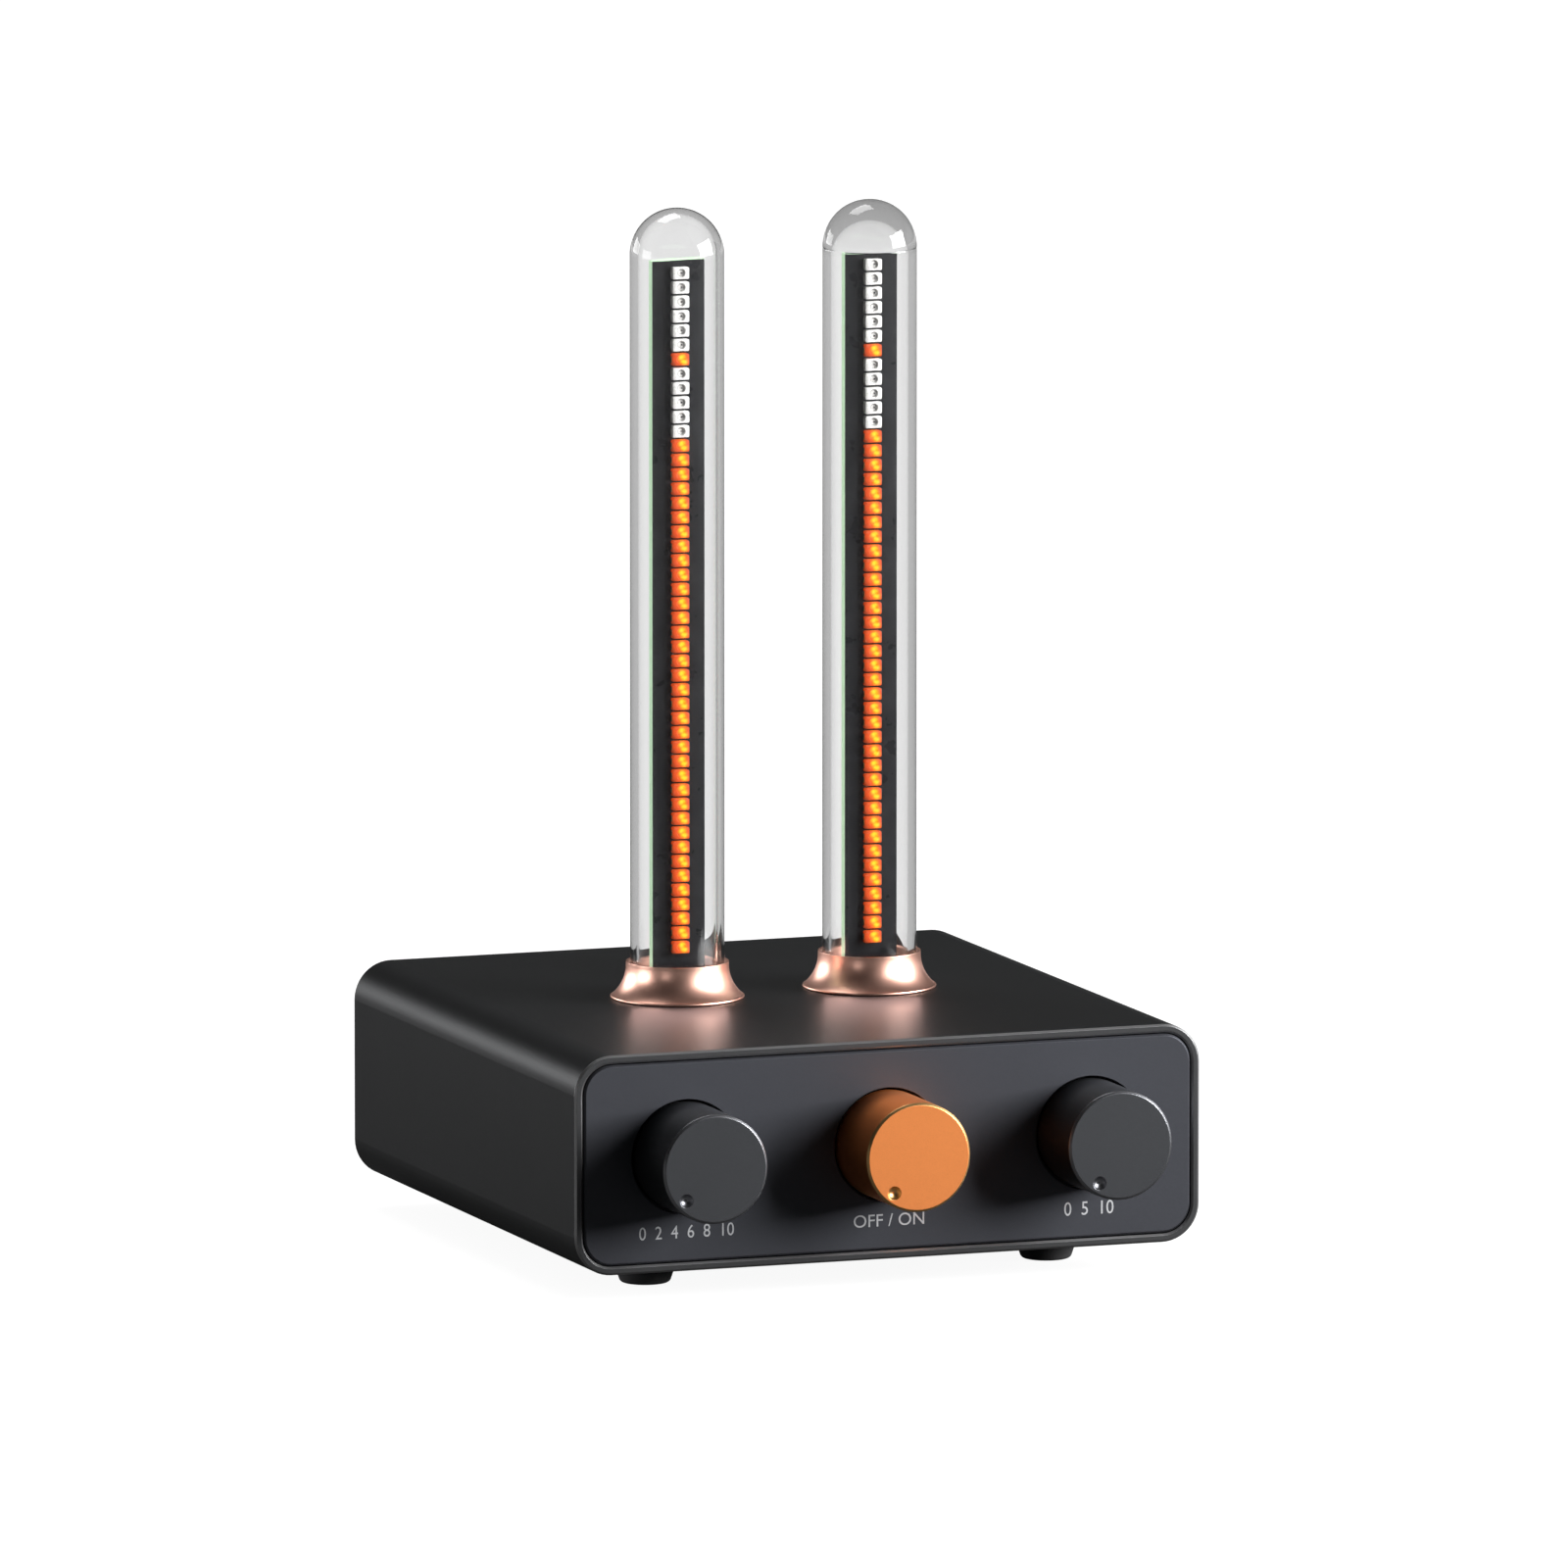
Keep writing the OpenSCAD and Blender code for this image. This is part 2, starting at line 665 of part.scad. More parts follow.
module inlet_tongue() {
    color([0.09, 0.09, 0.1])
        translate([usb_x - usb_tongue_w / 2, usb_y + usb_back_t, usb_z - usb_tongue_t / 2])
            cube([usb_tongue_w, usb_tongue_len, usb_tongue_t]);
}

module line_jack() {
    body_y = rear_in_y - jack_d;
    color([0.08, 0.08, 0.085])
        difference() {
            union() {
                translate([jack_x - jack_w / 2, body_y, board_z]) cube([jack_w, jack_d, jack_w]);
                rod(jack_x, body_y, jack_z, jack_barrel_r, jack_mouth_y - body_y);
            }
            rod(jack_x, jack_mouth_y - jack_bore_len, jack_z, jack_bore_r, jack_bore_len + overrun);
        }
}

module line_jack_nut() {
    color([0.66, 0.67, 0.69])
        translate([jack_x, rear_y, jack_z]) rotate([-90, 0, 0])
            difference() {
                hex_prism(jack_nut_af, jack_nut_t);
                translate([0, 0, -overrun])
                    cylinder(r = jack_barrel_r + thread_play, h = jack_nut_t + 2 * overrun);
            }
}

module microphone() {
    mic_y = rear_in_y - mic_gap - mic_len;
    color([0.6, 0.61, 0.62])
        difference() {
            rod(mic_x, mic_y, mic_z, mic_r, mic_len);
            rod(mic_x, mic_y + mic_len - mic_felt_depth, mic_z, mic_ring_r, mic_felt_depth + overrun);
        }
}

// Direction of a knob's dimple, seen from the front: turn is counted from the low stop
function dimple_angle(turn) = -90 - stop_angle - turn;

module knob(x, turn) {
    a = dimple_angle(turn);
    difference() {
        translate([x, knob_face_y, knob_z]) rotate([-90, 0, 0])
            rotate_extrude()
                polygon([[0, 0], [knob_r - knob_chamfer, 0], [knob_r, knob_chamfer],
                    [knob_r, knob_out + knob_in], [knob_bore_r, knob_out + knob_in],
                    [knob_bore_r, knob_face_t], [0, knob_face_t]]);
        translate([x + dimple_reach * cos(a), knob_face_y + dimple_depth - dimple_r,
            knob_z + dimple_reach * sin(a)]) sphere(dimple_r);
    }
}

// Round shaft with a flat over its last stretch, away from the dimple
module flatted_rod(x, turn, y, r, flat, len, flat_end_y) {
    difference() {
        rod(x, y, knob_z, r, len);
        translate([x, y - overrun, knob_z]) rotate([0, 90 - dimple_angle(turn), 0])
            translate([-r - overrun, 0, flat])
                cube([2 * (r + overrun), flat_end_y - y + overrun, r]);
    }
}

// The hub ends short of the bushing, and its bore's flat ends short of the shaft's flat
module hub(x, turn) {
    color([0.07, 0.07, 0.075])
        difference() {
            rod(x, hub_y, knob_z, hub_r, bushing_y - hub_gap - hub_y);
            flatted_rod(x, turn, shaft_tip_y - shaft_tip_gap, shaft_r + shaft_play,
                shaft_flat + shaft_play, knob_out, shaft_tip_y + flat_len - shaft_play);
        }
}

module shaft(x, turn) {
    color([0.72, 0.73, 0.75])
        flatted_rod(x, turn, shaft_tip_y, shaft_r, shaft_flat, shaft_end_y - shaft_play - shaft_tip_y,
            shaft_tip_y + flat_len);
}

module pot(x, body_t) {
    color([0.16, 0.34, 0.3])
        difference() {
            union() {
                translate([x - pot_w / 2, pot_y, board_z]) cube([pot_w, body_t, pot_axis_h + pot_top]);
                rod(x, bushing_y, knob_z, bushing_r, pot_y + pot_t / 2 - bushing_y);
            }
            rod(x, bushing_y - overrun, knob_z, bushing_bore_r, shaft_end_y - bushing_y + overrun);
        }
}

module sensitivity_knob() color([0.27, 0.28, 0.3]) knob(-knob_x, sensitivity_angle);
module sensitivity_hub() hub(-knob_x, sensitivity_angle);
module sensitivity_shaft() shaft(-knob_x, sensitivity_angle);
module sensitivity_pot() pot(-knob_x, pot_t);

module light_knob() color([0.9, 0.5, 0.26]) knob(0, light_angle);
module light_hub() hub(0, light_angle);
module light_shaft() shaft(0, light_angle);
module light_pot() pot(0, pot_t + switch_t);

module delay_knob() color([0.27, 0.28, 0.3]) knob(knob_x, delay_angle);
module delay_hub() hub(knob_x, delay_angle);
module delay_shaft() shaft(knob_x, delay_angle);
module delay_pot() pot(knob_x, pot_t);

module pot_washers() {
    color([0.7, 0.71, 0.73])
        for (x = [-knob_x, 0, knob_x])
            difference() {
                rod(x, plate_y - washer_t, knob_z, washer_r, washer_t);
                rod(x, plate_y - washer_t - overrun, knob_z, bushing_r + thread_play, washer_t + 2 * overrun);
            }
}

module pot_nuts() {
    color([0.7, 0.71, 0.73])
        for (x = [-knob_x, 0, knob_x])
            difference() {
                translate([x, nut_y, knob_z]) rotate([-90, 0, 0]) hex_prism(pot_nut_af, pot_nut_t);
                rod(x, nut_y - overrun, knob_z, bushing_r + thread_play, pot_nut_t + 2 * overrun);
            }
}

// Half outline of a round-topped body: r is its radius and z its dome's centre
module dome_outline(r, z, foot) {
    translate([0, foot]) square([r, z - foot]);
    intersection() {
        translate([0, z]) circle(r);
        translate([0, z]) square([r, r]);
    }
}

module tube(x, inner_dome_z) {
    color([0.88, 0.89, 0.9, 0.35])
        translate([x, tube_y, 0])
            rotate_extrude()
                difference() {
                    dome_outline(tube_r, dome_z, tube_foot_z);
                    dome_outline(tube_bore_r, inner_dome_z, tube_foot_z - overrun);
                }
}

module collar(x) {
    color([0.8, 0.5, 0.42])
        translate([x, tube_y, top_z])
            rotate_extrude()
                difference() {
                    union() {
                        square([collar_base_r - flange_t / 2, flange_t]);
                        translate([collar_base_r - flange_t / 2, flange_t / 2]) circle(flange_t / 2);
                        difference() {
                            square([collar_base_r - flange_t / 2, collar_h]);
                            translate([collar_rim_r + flare_r, flare_z]) circle(flare_r);
                            translate([collar_rim_r, flare_z])
                                square([collar_base_r, collar_h + overrun]);
                        }
                        translate([0, neck_z - top_z]) square([neck_r, top_z - neck_z + overrun / 2]);
                    }
                    translate([0, neck_z - top_z + ledge_t])
                        square([collar_bore_r, collar_h + top_z - neck_z + overrun]);
                    translate([0, neck_z - top_z - overrun]) square([ledge_bore_r, ledge_t + 2 * overrun]);
                    translate([0, collar_h])
                        polygon([[0, -lip_chamfer], [collar_bore_r, -lip_chamfer],
                            [collar_bore_r + lip_chamfer, 0], [collar_bore_r + lip_chamfer, overrun],
                            [0, overrun]]);
                }
}

module collar_nut(x) {
    color([0.6, 0.61, 0.63])
        translate([x, tube_y, top_z - case_wall - collar_nut_t])
            difference() {
                hex_prism(collar_nut_af, collar_nut_t);
                translate([0, 0, -overrun])
                    cylinder(r = neck_r + thread_play, h = collar_nut_t + 2 * overrun);
            }
}

module seal_ring(x) {
    color([0.05, 0.05, 0.055])
        translate([x, tube_y, neck_z + ledge_t])
            difference() {
                cylinder(r = tube_r, h = ring_t);
                translate([0, 0, -overrun]) cylinder(r = ledge_bore_r, h = ring_t + 2 * overrun);
            }
}

module bar_slot(x, z, h) {
    translate([x - bar_w / 2 - slot_gap, bar_y - slot_gap, z])
        cube([bar_w + 2 * slot_gap, bar_t + 2 * slot_gap, h]);
}

module board_holder(x) {
    color([0.06, 0.06, 0.065])
        difference() {
            translate([x, tube_y, neck_z]) {
                translate([0, 0, -holder_t]) cylinder(r = neck_r, h = holder_t);
                cylinder(r = ledge_bore_r - holder_gap, h = ledge_t + ring_t);
                cylinder(r = tube_bore_r - holder_gap, h = ledge_t + ring_t + holder_rise);
            }
            bar_slot(x, neck_z - holder_t - overrun, holder_t + ledge_t + ring_t + holder_rise + 2 * overrun);
        }
}

module light_bar(x) {
    color([0.2, 0.205, 0.215])
        translate([x - bar_w / 2, bar_y, bar_foot_z]) cube([bar_w, bar_t, bar_top_z - bar_foot_z]);
}

module lamps(x, numbers) {
    for (i = numbers)
        translate([x - led_w / 2, bar_y - led_t, led_z + i * led_pitch - led_h / 2])
            cube([led_w, led_t, led_h]);
}

lit_numbers = [for (i = [0 : led_count - 1]) if (i < lit_count || i == peak_lamp) i];
dark_numbers = [for (i = [0 : led_count - 1]) if (i >= lit_count && i != peak_lamp) i];

module driver_chips(x) {
    color([0.05, 0.05, 0.055])
        for (i = [0 : floor(led_count / lamps_per_driver) - 1])
            translate([x - driver_w / 2, bar_y + bar_t,
                led_z + ((i + 0.5) * lamps_per_driver - 0.5) * led_pitch - driver_w / 2])
                cube([driver_w, driver_t, driver_w]);
}

module bar_socket(x) {
    color([0.08, 0.08, 0.085])
        difference() {
            translate([x - bar_socket_w / 2, tube_y - bar_socket_d / 2, board_z])
                cube([bar_socket_w, bar_socket_d, bar_socket_h]);
            bar_slot(x, bar_foot_z, plug_depth + overrun);
        }
}

module left_tube() tube(-tube_x, dome_z + left_dome_lift);
module left_collar() collar(-tube_x);
module left_collar_nut() collar_nut(-tube_x);
module left_seal_ring() seal_ring(-tube_x);
module left_board_holder() board_holder(-tube_x);
module left_light_bar() light_bar(-tube_x);
module left_lit_lamps() color([1, 0.5, 0.05]) lamps(-tube_x, lit_numbers);
module left_dark_lamps() color([0.95, 0.94, 0.9]) lamps(-tube_x, dark_numbers);
module left_driver_chips() driver_chips(-tube_x);
module left_bar_socket() bar_socket(-tube_x);

module right_tube() tube(tube_x, dome_z - right_dome_drop);
module right_collar() collar(tube_x);
module right_collar_nut() collar_nut(tube_x);
module right_seal_ring() seal_ring(tube_x);
module right_board_holder() board_holder(tube_x);
module right_light_bar() light_bar(tube_x);
module right_lit_lamps() color([1, 0.5, 0.05]) lamps(tube_x, lit_numbers);
module right_dark_lamps() color([0.95, 0.94, 0.9]) lamps(tube_x, dark_numbers);
module right_driver_chips() driver_chips(tube_x);
module right_bar_socket() bar_socket(tube_x);

case_sleeve();
front_panel();
pot_plate();
pot_plate_screws();
rear_panel();
rear_screws();
front_left_foot();
front_right_foot();
rear_left_foot();
rear_right_foot();
foot_screws();
foot_nuts();
main_board();
board_standoffs();
board_screws();
controller_chip();
power_chip();
capacitors();
power_inlet();
inlet_tongue();
line_jack();
line_jack_nut();
microphone();
sensitivity_knob();
sensitivity_hub();
sensitivity_shaft();
sensitivity_pot();
light_knob();
light_hub();
light_shaft();
light_pot();
delay_knob();
delay_hub();
delay_shaft();
delay_pot();
pot_washers();
pot_nuts();
left_tube();
left_collar();
left_collar_nut();
left_seal_ring();
left_board_holder();
left_light_bar();
left_lit_lamps();
left_dark_lamps();
left_driver_chips();
left_bar_socket();
right_tube();
right_collar();
right_collar_nut();
right_seal_ring();
right_board_holder();
right_light_bar();
right_lit_lamps();
right_dark_lamps();
right_driver_chips();
right_bar_socket();
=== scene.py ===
import json
import math

import bmesh
import bpy
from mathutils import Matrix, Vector

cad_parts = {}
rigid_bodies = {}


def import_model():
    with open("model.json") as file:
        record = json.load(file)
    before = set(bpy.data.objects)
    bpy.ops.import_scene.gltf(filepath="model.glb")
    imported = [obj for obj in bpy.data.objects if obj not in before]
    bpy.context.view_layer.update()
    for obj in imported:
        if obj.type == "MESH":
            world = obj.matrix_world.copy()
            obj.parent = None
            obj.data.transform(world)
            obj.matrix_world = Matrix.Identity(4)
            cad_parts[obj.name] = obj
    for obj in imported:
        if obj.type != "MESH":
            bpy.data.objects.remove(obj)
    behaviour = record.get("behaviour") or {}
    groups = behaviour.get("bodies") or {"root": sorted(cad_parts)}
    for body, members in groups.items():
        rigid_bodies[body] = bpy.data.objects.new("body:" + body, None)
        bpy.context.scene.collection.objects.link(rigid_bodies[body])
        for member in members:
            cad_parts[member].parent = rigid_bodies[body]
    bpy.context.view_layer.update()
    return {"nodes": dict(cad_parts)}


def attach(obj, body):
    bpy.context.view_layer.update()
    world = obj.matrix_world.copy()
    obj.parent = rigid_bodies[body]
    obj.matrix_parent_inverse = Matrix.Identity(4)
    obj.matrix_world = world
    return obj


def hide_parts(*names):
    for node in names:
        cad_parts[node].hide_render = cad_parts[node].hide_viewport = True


# The scene starts empty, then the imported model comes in
for old in list(bpy.data.objects):
    bpy.data.objects.remove(old, do_unlink=True)
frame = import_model()
nodes = frame["nodes"]

# Lengths and places are in millimetres where nothing else is said. x runs right, y back and z up.
MM = 0.001
X, Y, Z = range(3)


def mm(x, y, z):
    """A place in Blender's metres."""
    return Vector((x * MM, y * MM, z * MM))


def box_of(name):
    """The low and the high corner of a CAD node, to the hundredth of a millimetre."""
    corners = [nodes[name].matrix_world @ Vector(corner) for corner in nodes[name].bound_box]
    sides = [[corner[axis] / MM for corner in corners] for axis in (X, Y, Z)]
    return [round(min(side), 2) for side in sides], [round(max(side), 2) for side in sides]


case_low = box_of("case_sleeve")[0]
bar_low, bar_high = box_of("right_light_bar")
tube_low, tube_high = box_of("right_tube")
lit_low, lit_high = box_of("right_lit_lamps")

# Case: its front rim, and its underside over the feet
FRONT_Y = case_low[Y]
CASE_Z = case_low[Z]

# Glass tubes, which stand mirrored at -TUBE_X and TUBE_X with their light bars in the middle
TUBE_X = (bar_low[X] + bar_high[X]) / 2
TUBE_Y = (bar_low[Y] + bar_high[Y]) / 2
TUBE_R = (tube_high[X] - tube_low[X]) / 2
TUBE_WALL = 1.45
BORE_R = TUBE_R - TUBE_WALL
TUBE_FOOT_Z = tube_low[Z]
FOOT_LIP = 0.3
DOME_Z = tube_high[Z] - TUBE_R
DOME_STEPS = 40
TUBE_STEPS = 128
MIDDLE_Z = 100
# The left dome is thin, and the right one is thick with a seam at its foot
LEFT_INNER_DOME_Z = DOME_Z + 0.3
RIGHT_INNER_DOME_Z = DOME_Z - 1.6
# The seam's profile, as how far below the dome's foot each point lies and how deep it is
SEAM = ((0.42, 0), (0.40, 0), (0.28, 0.07), (0.22, 0.07), (0.10, 0))

# Light bars
BAR_Y = bar_low[Y]
BAR_W = bar_high[X] - bar_low[X]
BAR_T = bar_high[Y] - bar_low[Y]
BAR_FOOT_Z = bar_low[Z]
BAR_TOP_Z = bar_high[Z]
BAR_EDGE = 0.09

# Lamps, counted from the bottom: a lit column, dark ones over it, and a lit peak lamp among those
LAMP_COUNT = 48
LIT_COUNT = 36
PEAK_LAMP = 41
LAMP_W = lit_high[X] - lit_low[X]
LAMP_H = 2.1
LAMP_T = lit_high[Y] - lit_low[Y]
LAMP_Z = lit_low[Z] + LAMP_H / 2
LAMP_PITCH = (lit_high[Z] - lit_low[Z] - LAMP_H) / PEAK_LAMP
LAMP_CUT = 0.22
LAMP_STEPS = 48
CUP_R = 0.84
CUP_FLOOR_R = 0.58
CUP_DEPTH = 0.46
TERMINAL_T = 0.10
TERMINAL_H = 1.10
# What lies in a dark lamp's cup, by left, right, lower and upper side from the lamp's middle
LEAD_FRAME = ((-0.50, -0.06, -0.34, 0.34), (0.04, 0.50, -0.34, 0.34))
LEAD_T = 0.02
DIE = (0.08, 0.38, -0.15, 0.15)
DIE_T = 0.16
WIRE_R = 0.018
WIRE_REACH = 0.5
WIRE_RISE = 0.22
WIRE_BENDS = 6

# Under the board's mask by each lamp: pads, a covered hole and a trace, from the lamp's middle
PAD_X = 1.8
PAD_W = 0.48
PAD_H = 1.5
HOLE_X = -2.1
HOLE_Z = -0.35
HOLE_R = 0.15
TRACE = (-2.75, -2.6, -1.27, 0.9)

# Camera, where the photograph's camera stood. Its place is in metres.
CAMERA_PLACE = Vector((-1.5105, -4.1074, 0.7267))
CAMERA_AIM = mm(-1.1, -2.01, 81.97)
CAMERA_LENS = 578.2
CAMERA_SENSOR = 36
CAMERA_REACH = 100

camera_data = bpy.data.cameras.new("camera")
camera_data.sensor_fit = "AUTO"
camera_data.sensor_width = CAMERA_SENSOR
camera_data.lens = CAMERA_LENS
camera_data.clip_end = CAMERA_REACH
camera = bpy.data.objects.new("camera", camera_data)
camera.location = CAMERA_PLACE
camera.rotation_mode = "QUATERNION"
camera.rotation_quaternion = (CAMERA_AIM - CAMERA_PLACE).to_track_quat("-Z", "Y")
bpy.context.scene.collection.objects.link(camera)
bpy.context.scene.camera = camera


# Materials
class Nodes:
    """Short calls for the nodes of one material or world."""

    def __init__(self, tree):
        self.tree = tree
        tree.nodes.clear()

    def add(self, kind, **settings):
        node = self.tree.nodes.new(kind)
        for key, value in settings.items():
            setattr(node, key, value)
        return node

    def link(self, source, socket):
        self.tree.links.new(source, socket)

    def feed(self, socket, value):
        """Links a node's output to the socket, or sets the socket to a plain value."""
        if isinstance(value, bpy.types.NodeSocket):
            self.link(value, socket)
        else:
            socket.default_value = value

    def math(self, operation, a, b=0.0):
        node = self.add("ShaderNodeMath", operation=operation)
        self.feed(node.inputs[0], a)
        self.feed(node.inputs[1], b)
        return node.outputs[0]

    def spread(self, value, low, high, to_low=0.0, to_high=1.0):
        """Maps the range from low to high onto the range from to_low to to_high, and holds it there."""
        node = self.add("ShaderNodeMapRange")
        self.feed(node.inputs["Value"], value)
        node.inputs["From Min"].default_value = low
        node.inputs["From Max"].default_value = high
        node.inputs["To Min"].default_value = to_low
        node.inputs["To Max"].default_value = to_high
        return node.outputs["Result"]

    def split(self, vector):
        node = self.add("ShaderNodeSeparateXYZ")
        self.link(vector, node.inputs[0])
        return node.outputs


class Finish(Nodes):
    """A material with one Principled shader."""

    def __init__(self, name):
        self.material = bpy.data.materials.new(name)
        self.material.use_nodes = True
        super().__init__(self.material.node_tree)
        self.out = self.add("ShaderNodeOutputMaterial")
        self.shader = self.add("ShaderNodeBsdfPrincipled")
        self.link(self.shader.outputs["BSDF"], self.out.inputs["Surface"])
        self.place = self.add("ShaderNodeTexCoord").outputs["Object"]
        self.parts = None

    def set(self, **values):
        for key, value in values.items():
            self.feed(self.shader.inputs[key.replace("_", " ")], value)

    def noise(self, size_mm, detail, rough):
        node = self.add("ShaderNodeTexNoise")
        self.link(self.place, node.inputs["Vector"])
        node.inputs["Scale"].default_value = 1 / (size_mm * MM)
        node.inputs["Detail"].default_value = detail
        node.inputs["Roughness"].default_value = rough
        return node.outputs["Fac"]

    def ramp(self, value, stops):
        node = self.add("ShaderNodeValToRGB")
        self.feed(node.inputs["Fac"], value)
        points = node.color_ramp.elements
        while len(points) < len(stops):
            points.new(0.5)
        for point, (where, colour) in zip(points, stops):
            point.position = where
            point.color = (*colour, 1)
        return node.outputs["Color"]

    def blend(self, share, a, b):
        """Colour a where the share is 0, and colour b where it is 1."""
        node = self.add("ShaderNodeMix", data_type="RGBA")
        self.feed(node.inputs["Factor"], share)
        self.feed(node.inputs[6], a)
        self.feed(node.inputs[7], b)
        return node.outputs[2]

    def bump(self, height, strength, distance_mm, normal=None):
        node = self.add("ShaderNodeBump")
        node.inputs["Strength"].default_value = strength
        node.inputs["Distance"].default_value = distance_mm * MM
        self.link(height, node.inputs["Height"])
        if normal:
            self.link(normal, node.inputs["Normal"])
        self.link(node.outputs["Normal"], self.shader.inputs["Normal"])

    def soft_edges(self, radius_mm):
        node = self.add("ShaderNodeBevel", samples=6)
        node.inputs["Radius"].default_value = radius_mm * MM
        self.link(node.outputs["Normal"], self.shader.inputs["Normal"])
        return node.outputs["Normal"]

    def axis(self, name):
        """The point's own x, y or z, in metres."""
        if not self.parts:
            self.parts = self.split(self.place)
        return self.parts[name]

    def tilt(self):
        """1 on faces that look straight to the front or back, 0 on those that look sideways or up."""
        normal = self.split(self.add("ShaderNodeNewGeometry").outputs["True Normal"])
        return self.math("ABSOLUTE", normal["Y"])

    def between(self, value, low, high):
        """1 where the value is between the two, and otherwise 0."""
        return self.math("MULTIPLY", self.math("GREATER_THAN", value, low),
                         self.math("LESS_THAN", value, high))


def shades(colour, spread):
    """The colour a little darker and a little lighter."""
    return [tuple(c * (1 - spread) for c in colour), tuple(c * (1 + spread) for c in colour)]


def blasted(name, colour, metallic, rough, level, grain, edge, grain_mm=0.22):
    """Bead-blasted and anodised metal: fine grain, faint clouds, edges that catch the light."""
    f = Finish(name)
    low, high = shades(colour, grain)
    fine = f.noise(grain_mm, 3, 0.6)
    cloud = f.noise(14, 2, 0.5)
    mixed = f.math("ADD", f.math("MULTIPLY", fine, 0.75), f.math("MULTIPLY", cloud, 0.25))
    f.set(Base_Color=f.ramp(mixed, [(0.32, low), (0.68, high)]), Metallic=metallic,
          Roughness=f.spread(fine, 0.3, 0.7, rough - 0.03, rough + 0.03), Specular_IOR_Level=level)
    f.bump(fine, 0.12, 0.02, f.soft_edges(edge))
    return f


def sleeve_finish():
    """Satin black sleeve. Its front rim face is painted greyer as a lit face, and the thin cut along it
    is painted bright as a highlight.
    """
    f = blasted("case_black", (0.055, 0.0565, 0.059), metallic=0.94, rough=0.42, level=0.0,
                grain=0.06, edge=0.10)
    skin = f.shader.inputs["Base Color"].links[0].from_socket
    tilt = f.tilt()
    # Painted light: the front rim face is painted lighter where the key light falls on it, and the thin
    # cut along its edge is painted bright as a highlight.
    near = f.math("LESS_THAN", f.axis("Y"), (FRONT_Y + 0.4) * MM)
    chamfer_highlight = f.math("MULTIPLY", f.between(tilt, 0.3, 0.95), near)
    rim = f.math("MULTIPLY", f.math("GREATER_THAN", tilt, 0.95), near)
    skin_and_painted_rim = f.blend(rim, skin, (0.108, 0.110, 0.114, 1))
    f.set(Base_Color=f.blend(chamfer_highlight, skin_and_painted_rim, (0.34, 0.34, 0.345, 1)))
    return f.material


def panel_finish():
    return blasted("panel_black", (0.083, 0.086, 0.099), metallic=1.0, rough=0.52, level=0.5,
                   grain=0.05, edge=0.12).material


def turned_knob(name, colour, painted_highlight_colour):
    """A turned and anodised knob: blasted skin, with a smoother cut edge and dimple that are painted
    brighter as a highlight.
    """
    rough = 0.48
    cut_rough = 0.36
    f = blasted(name, colour, metallic=1.0, rough=rough, level=0.5, grain=0.045, edge=0.2, grain_mm=0.2)
    skin = f.shader.inputs["Base Color"].links[0].from_socket
    skin_rough = f.shader.inputs["Roughness"].links[0].from_socket
    # Painted highlight: the cut edge and the dimple get a paler colour than the skin.
    cut = f.between(f.tilt(), 0.2, 0.97)
    f.set(Base_Color=f.blend(cut, skin, (*painted_highlight_colour, 1)),
          Roughness=f.math("SUBTRACT", skin_rough, f.math("MULTIPLY", cut, rough - cut_rough)))
    return f.material


def plain_metal(name, colour, rough, patch_mm=0.6, spread=0.06, edge=0.08):
    """Bare or plated metal with a faint uneven polish."""
    f = Finish(name)
    low, high = shades(colour, spread)
    patch = f.noise(patch_mm, 4, 0.6)
    f.set(Base_Color=f.ramp(patch, [(0.3, low), (0.7, high)]), Metallic=1.0,
          Roughness=f.spread(patch, 0.3, 0.7, rough - 0.04, rough + 0.05))
    f.bump(patch, 0.06, 0.01, f.soft_edges(edge))
    return f.material


def plastic(name, colour, rough, level=0.4, skin_mm=0.35, spread=0.08, depth=0.015, edge=0.1):
    """Moulded plastic, rubber or ink with a fine texture."""
    f = Finish(name)
    low, high = shades(colour, spread)
    skin = f.noise(skin_mm, 3, 0.55)
    f.set(Base_Color=f.ramp(skin, [(0.3, low), (0.7, high)]),
          Roughness=f.spread(skin, 0.3, 0.7, rough - 0.05, rough + 0.05), Specular_IOR_Level=level)
    f.bump(skin, 0.2, depth, f.soft_edges(edge))
    return f.material


def circuit_board(name, mask, line, rough):
    """Solder mask over faint traces, with the glass cloth just showing."""
    f = Finish(name)
    threads = 5200
    weave = f.math("MULTIPLY", f.math("SINE", f.math("MULTIPLY", f.axis("X"), threads)),
                   f.math("SINE", f.math("MULTIPLY", f.axis("Z"), threads)))
    cloud = f.noise(3.5, 3, 0.55)
    tone = f.math("ADD", f.math("MULTIPLY", weave, 0.08), cloud)
    f.set(Base_Color=f.ramp(tone, [(0.3, mask), (0.75, line)]),
          Roughness=f.spread(cloud, 0.3, 0.7, rough - 0.04, rough + 0.06), Specular_IOR_Level=0.3)
    f.bump(tone, 0.08, 0.01)
    return f.material


def glowing_board_edge_finish():
    """The pale green cut edge of the glass-cloth core, with a faint painted glow."""
    f = Finish("glowing_board_edge")
    cloth = f.noise(0.3, 3, 0.55)
    shade = f.ramp(cloth, [(0.3, (0.52, 0.78, 0.50)), (0.7, (0.66, 0.90, 0.64))])
    # Painted light: the edge glows faintly in its own colour, though it is no lamp.
    f.set(Base_Color=shade, Roughness=0.6, Specular_IOR_Level=0.2, Emission_Color=shade,
          Emission_Strength=0.28)
    f.bump(cloth, 0.2, 0.01)
    return f.material


def copper_finish():
    """Polished copper with faint clouds."""
    f = Finish("collar_copper")
    cloud = f.noise(6, 2, 0.5)
    f.set(Base_Color=f.ramp(cloud, [(0.3, (0.93, 0.525, 0.415)), (0.7, (0.95, 0.555, 0.44))]),
          Metallic=1.0, Roughness=f.spread(cloud, 0.3, 0.7, 0.33, 0.36))
    f.soft_edges(0.15)
    return f.material


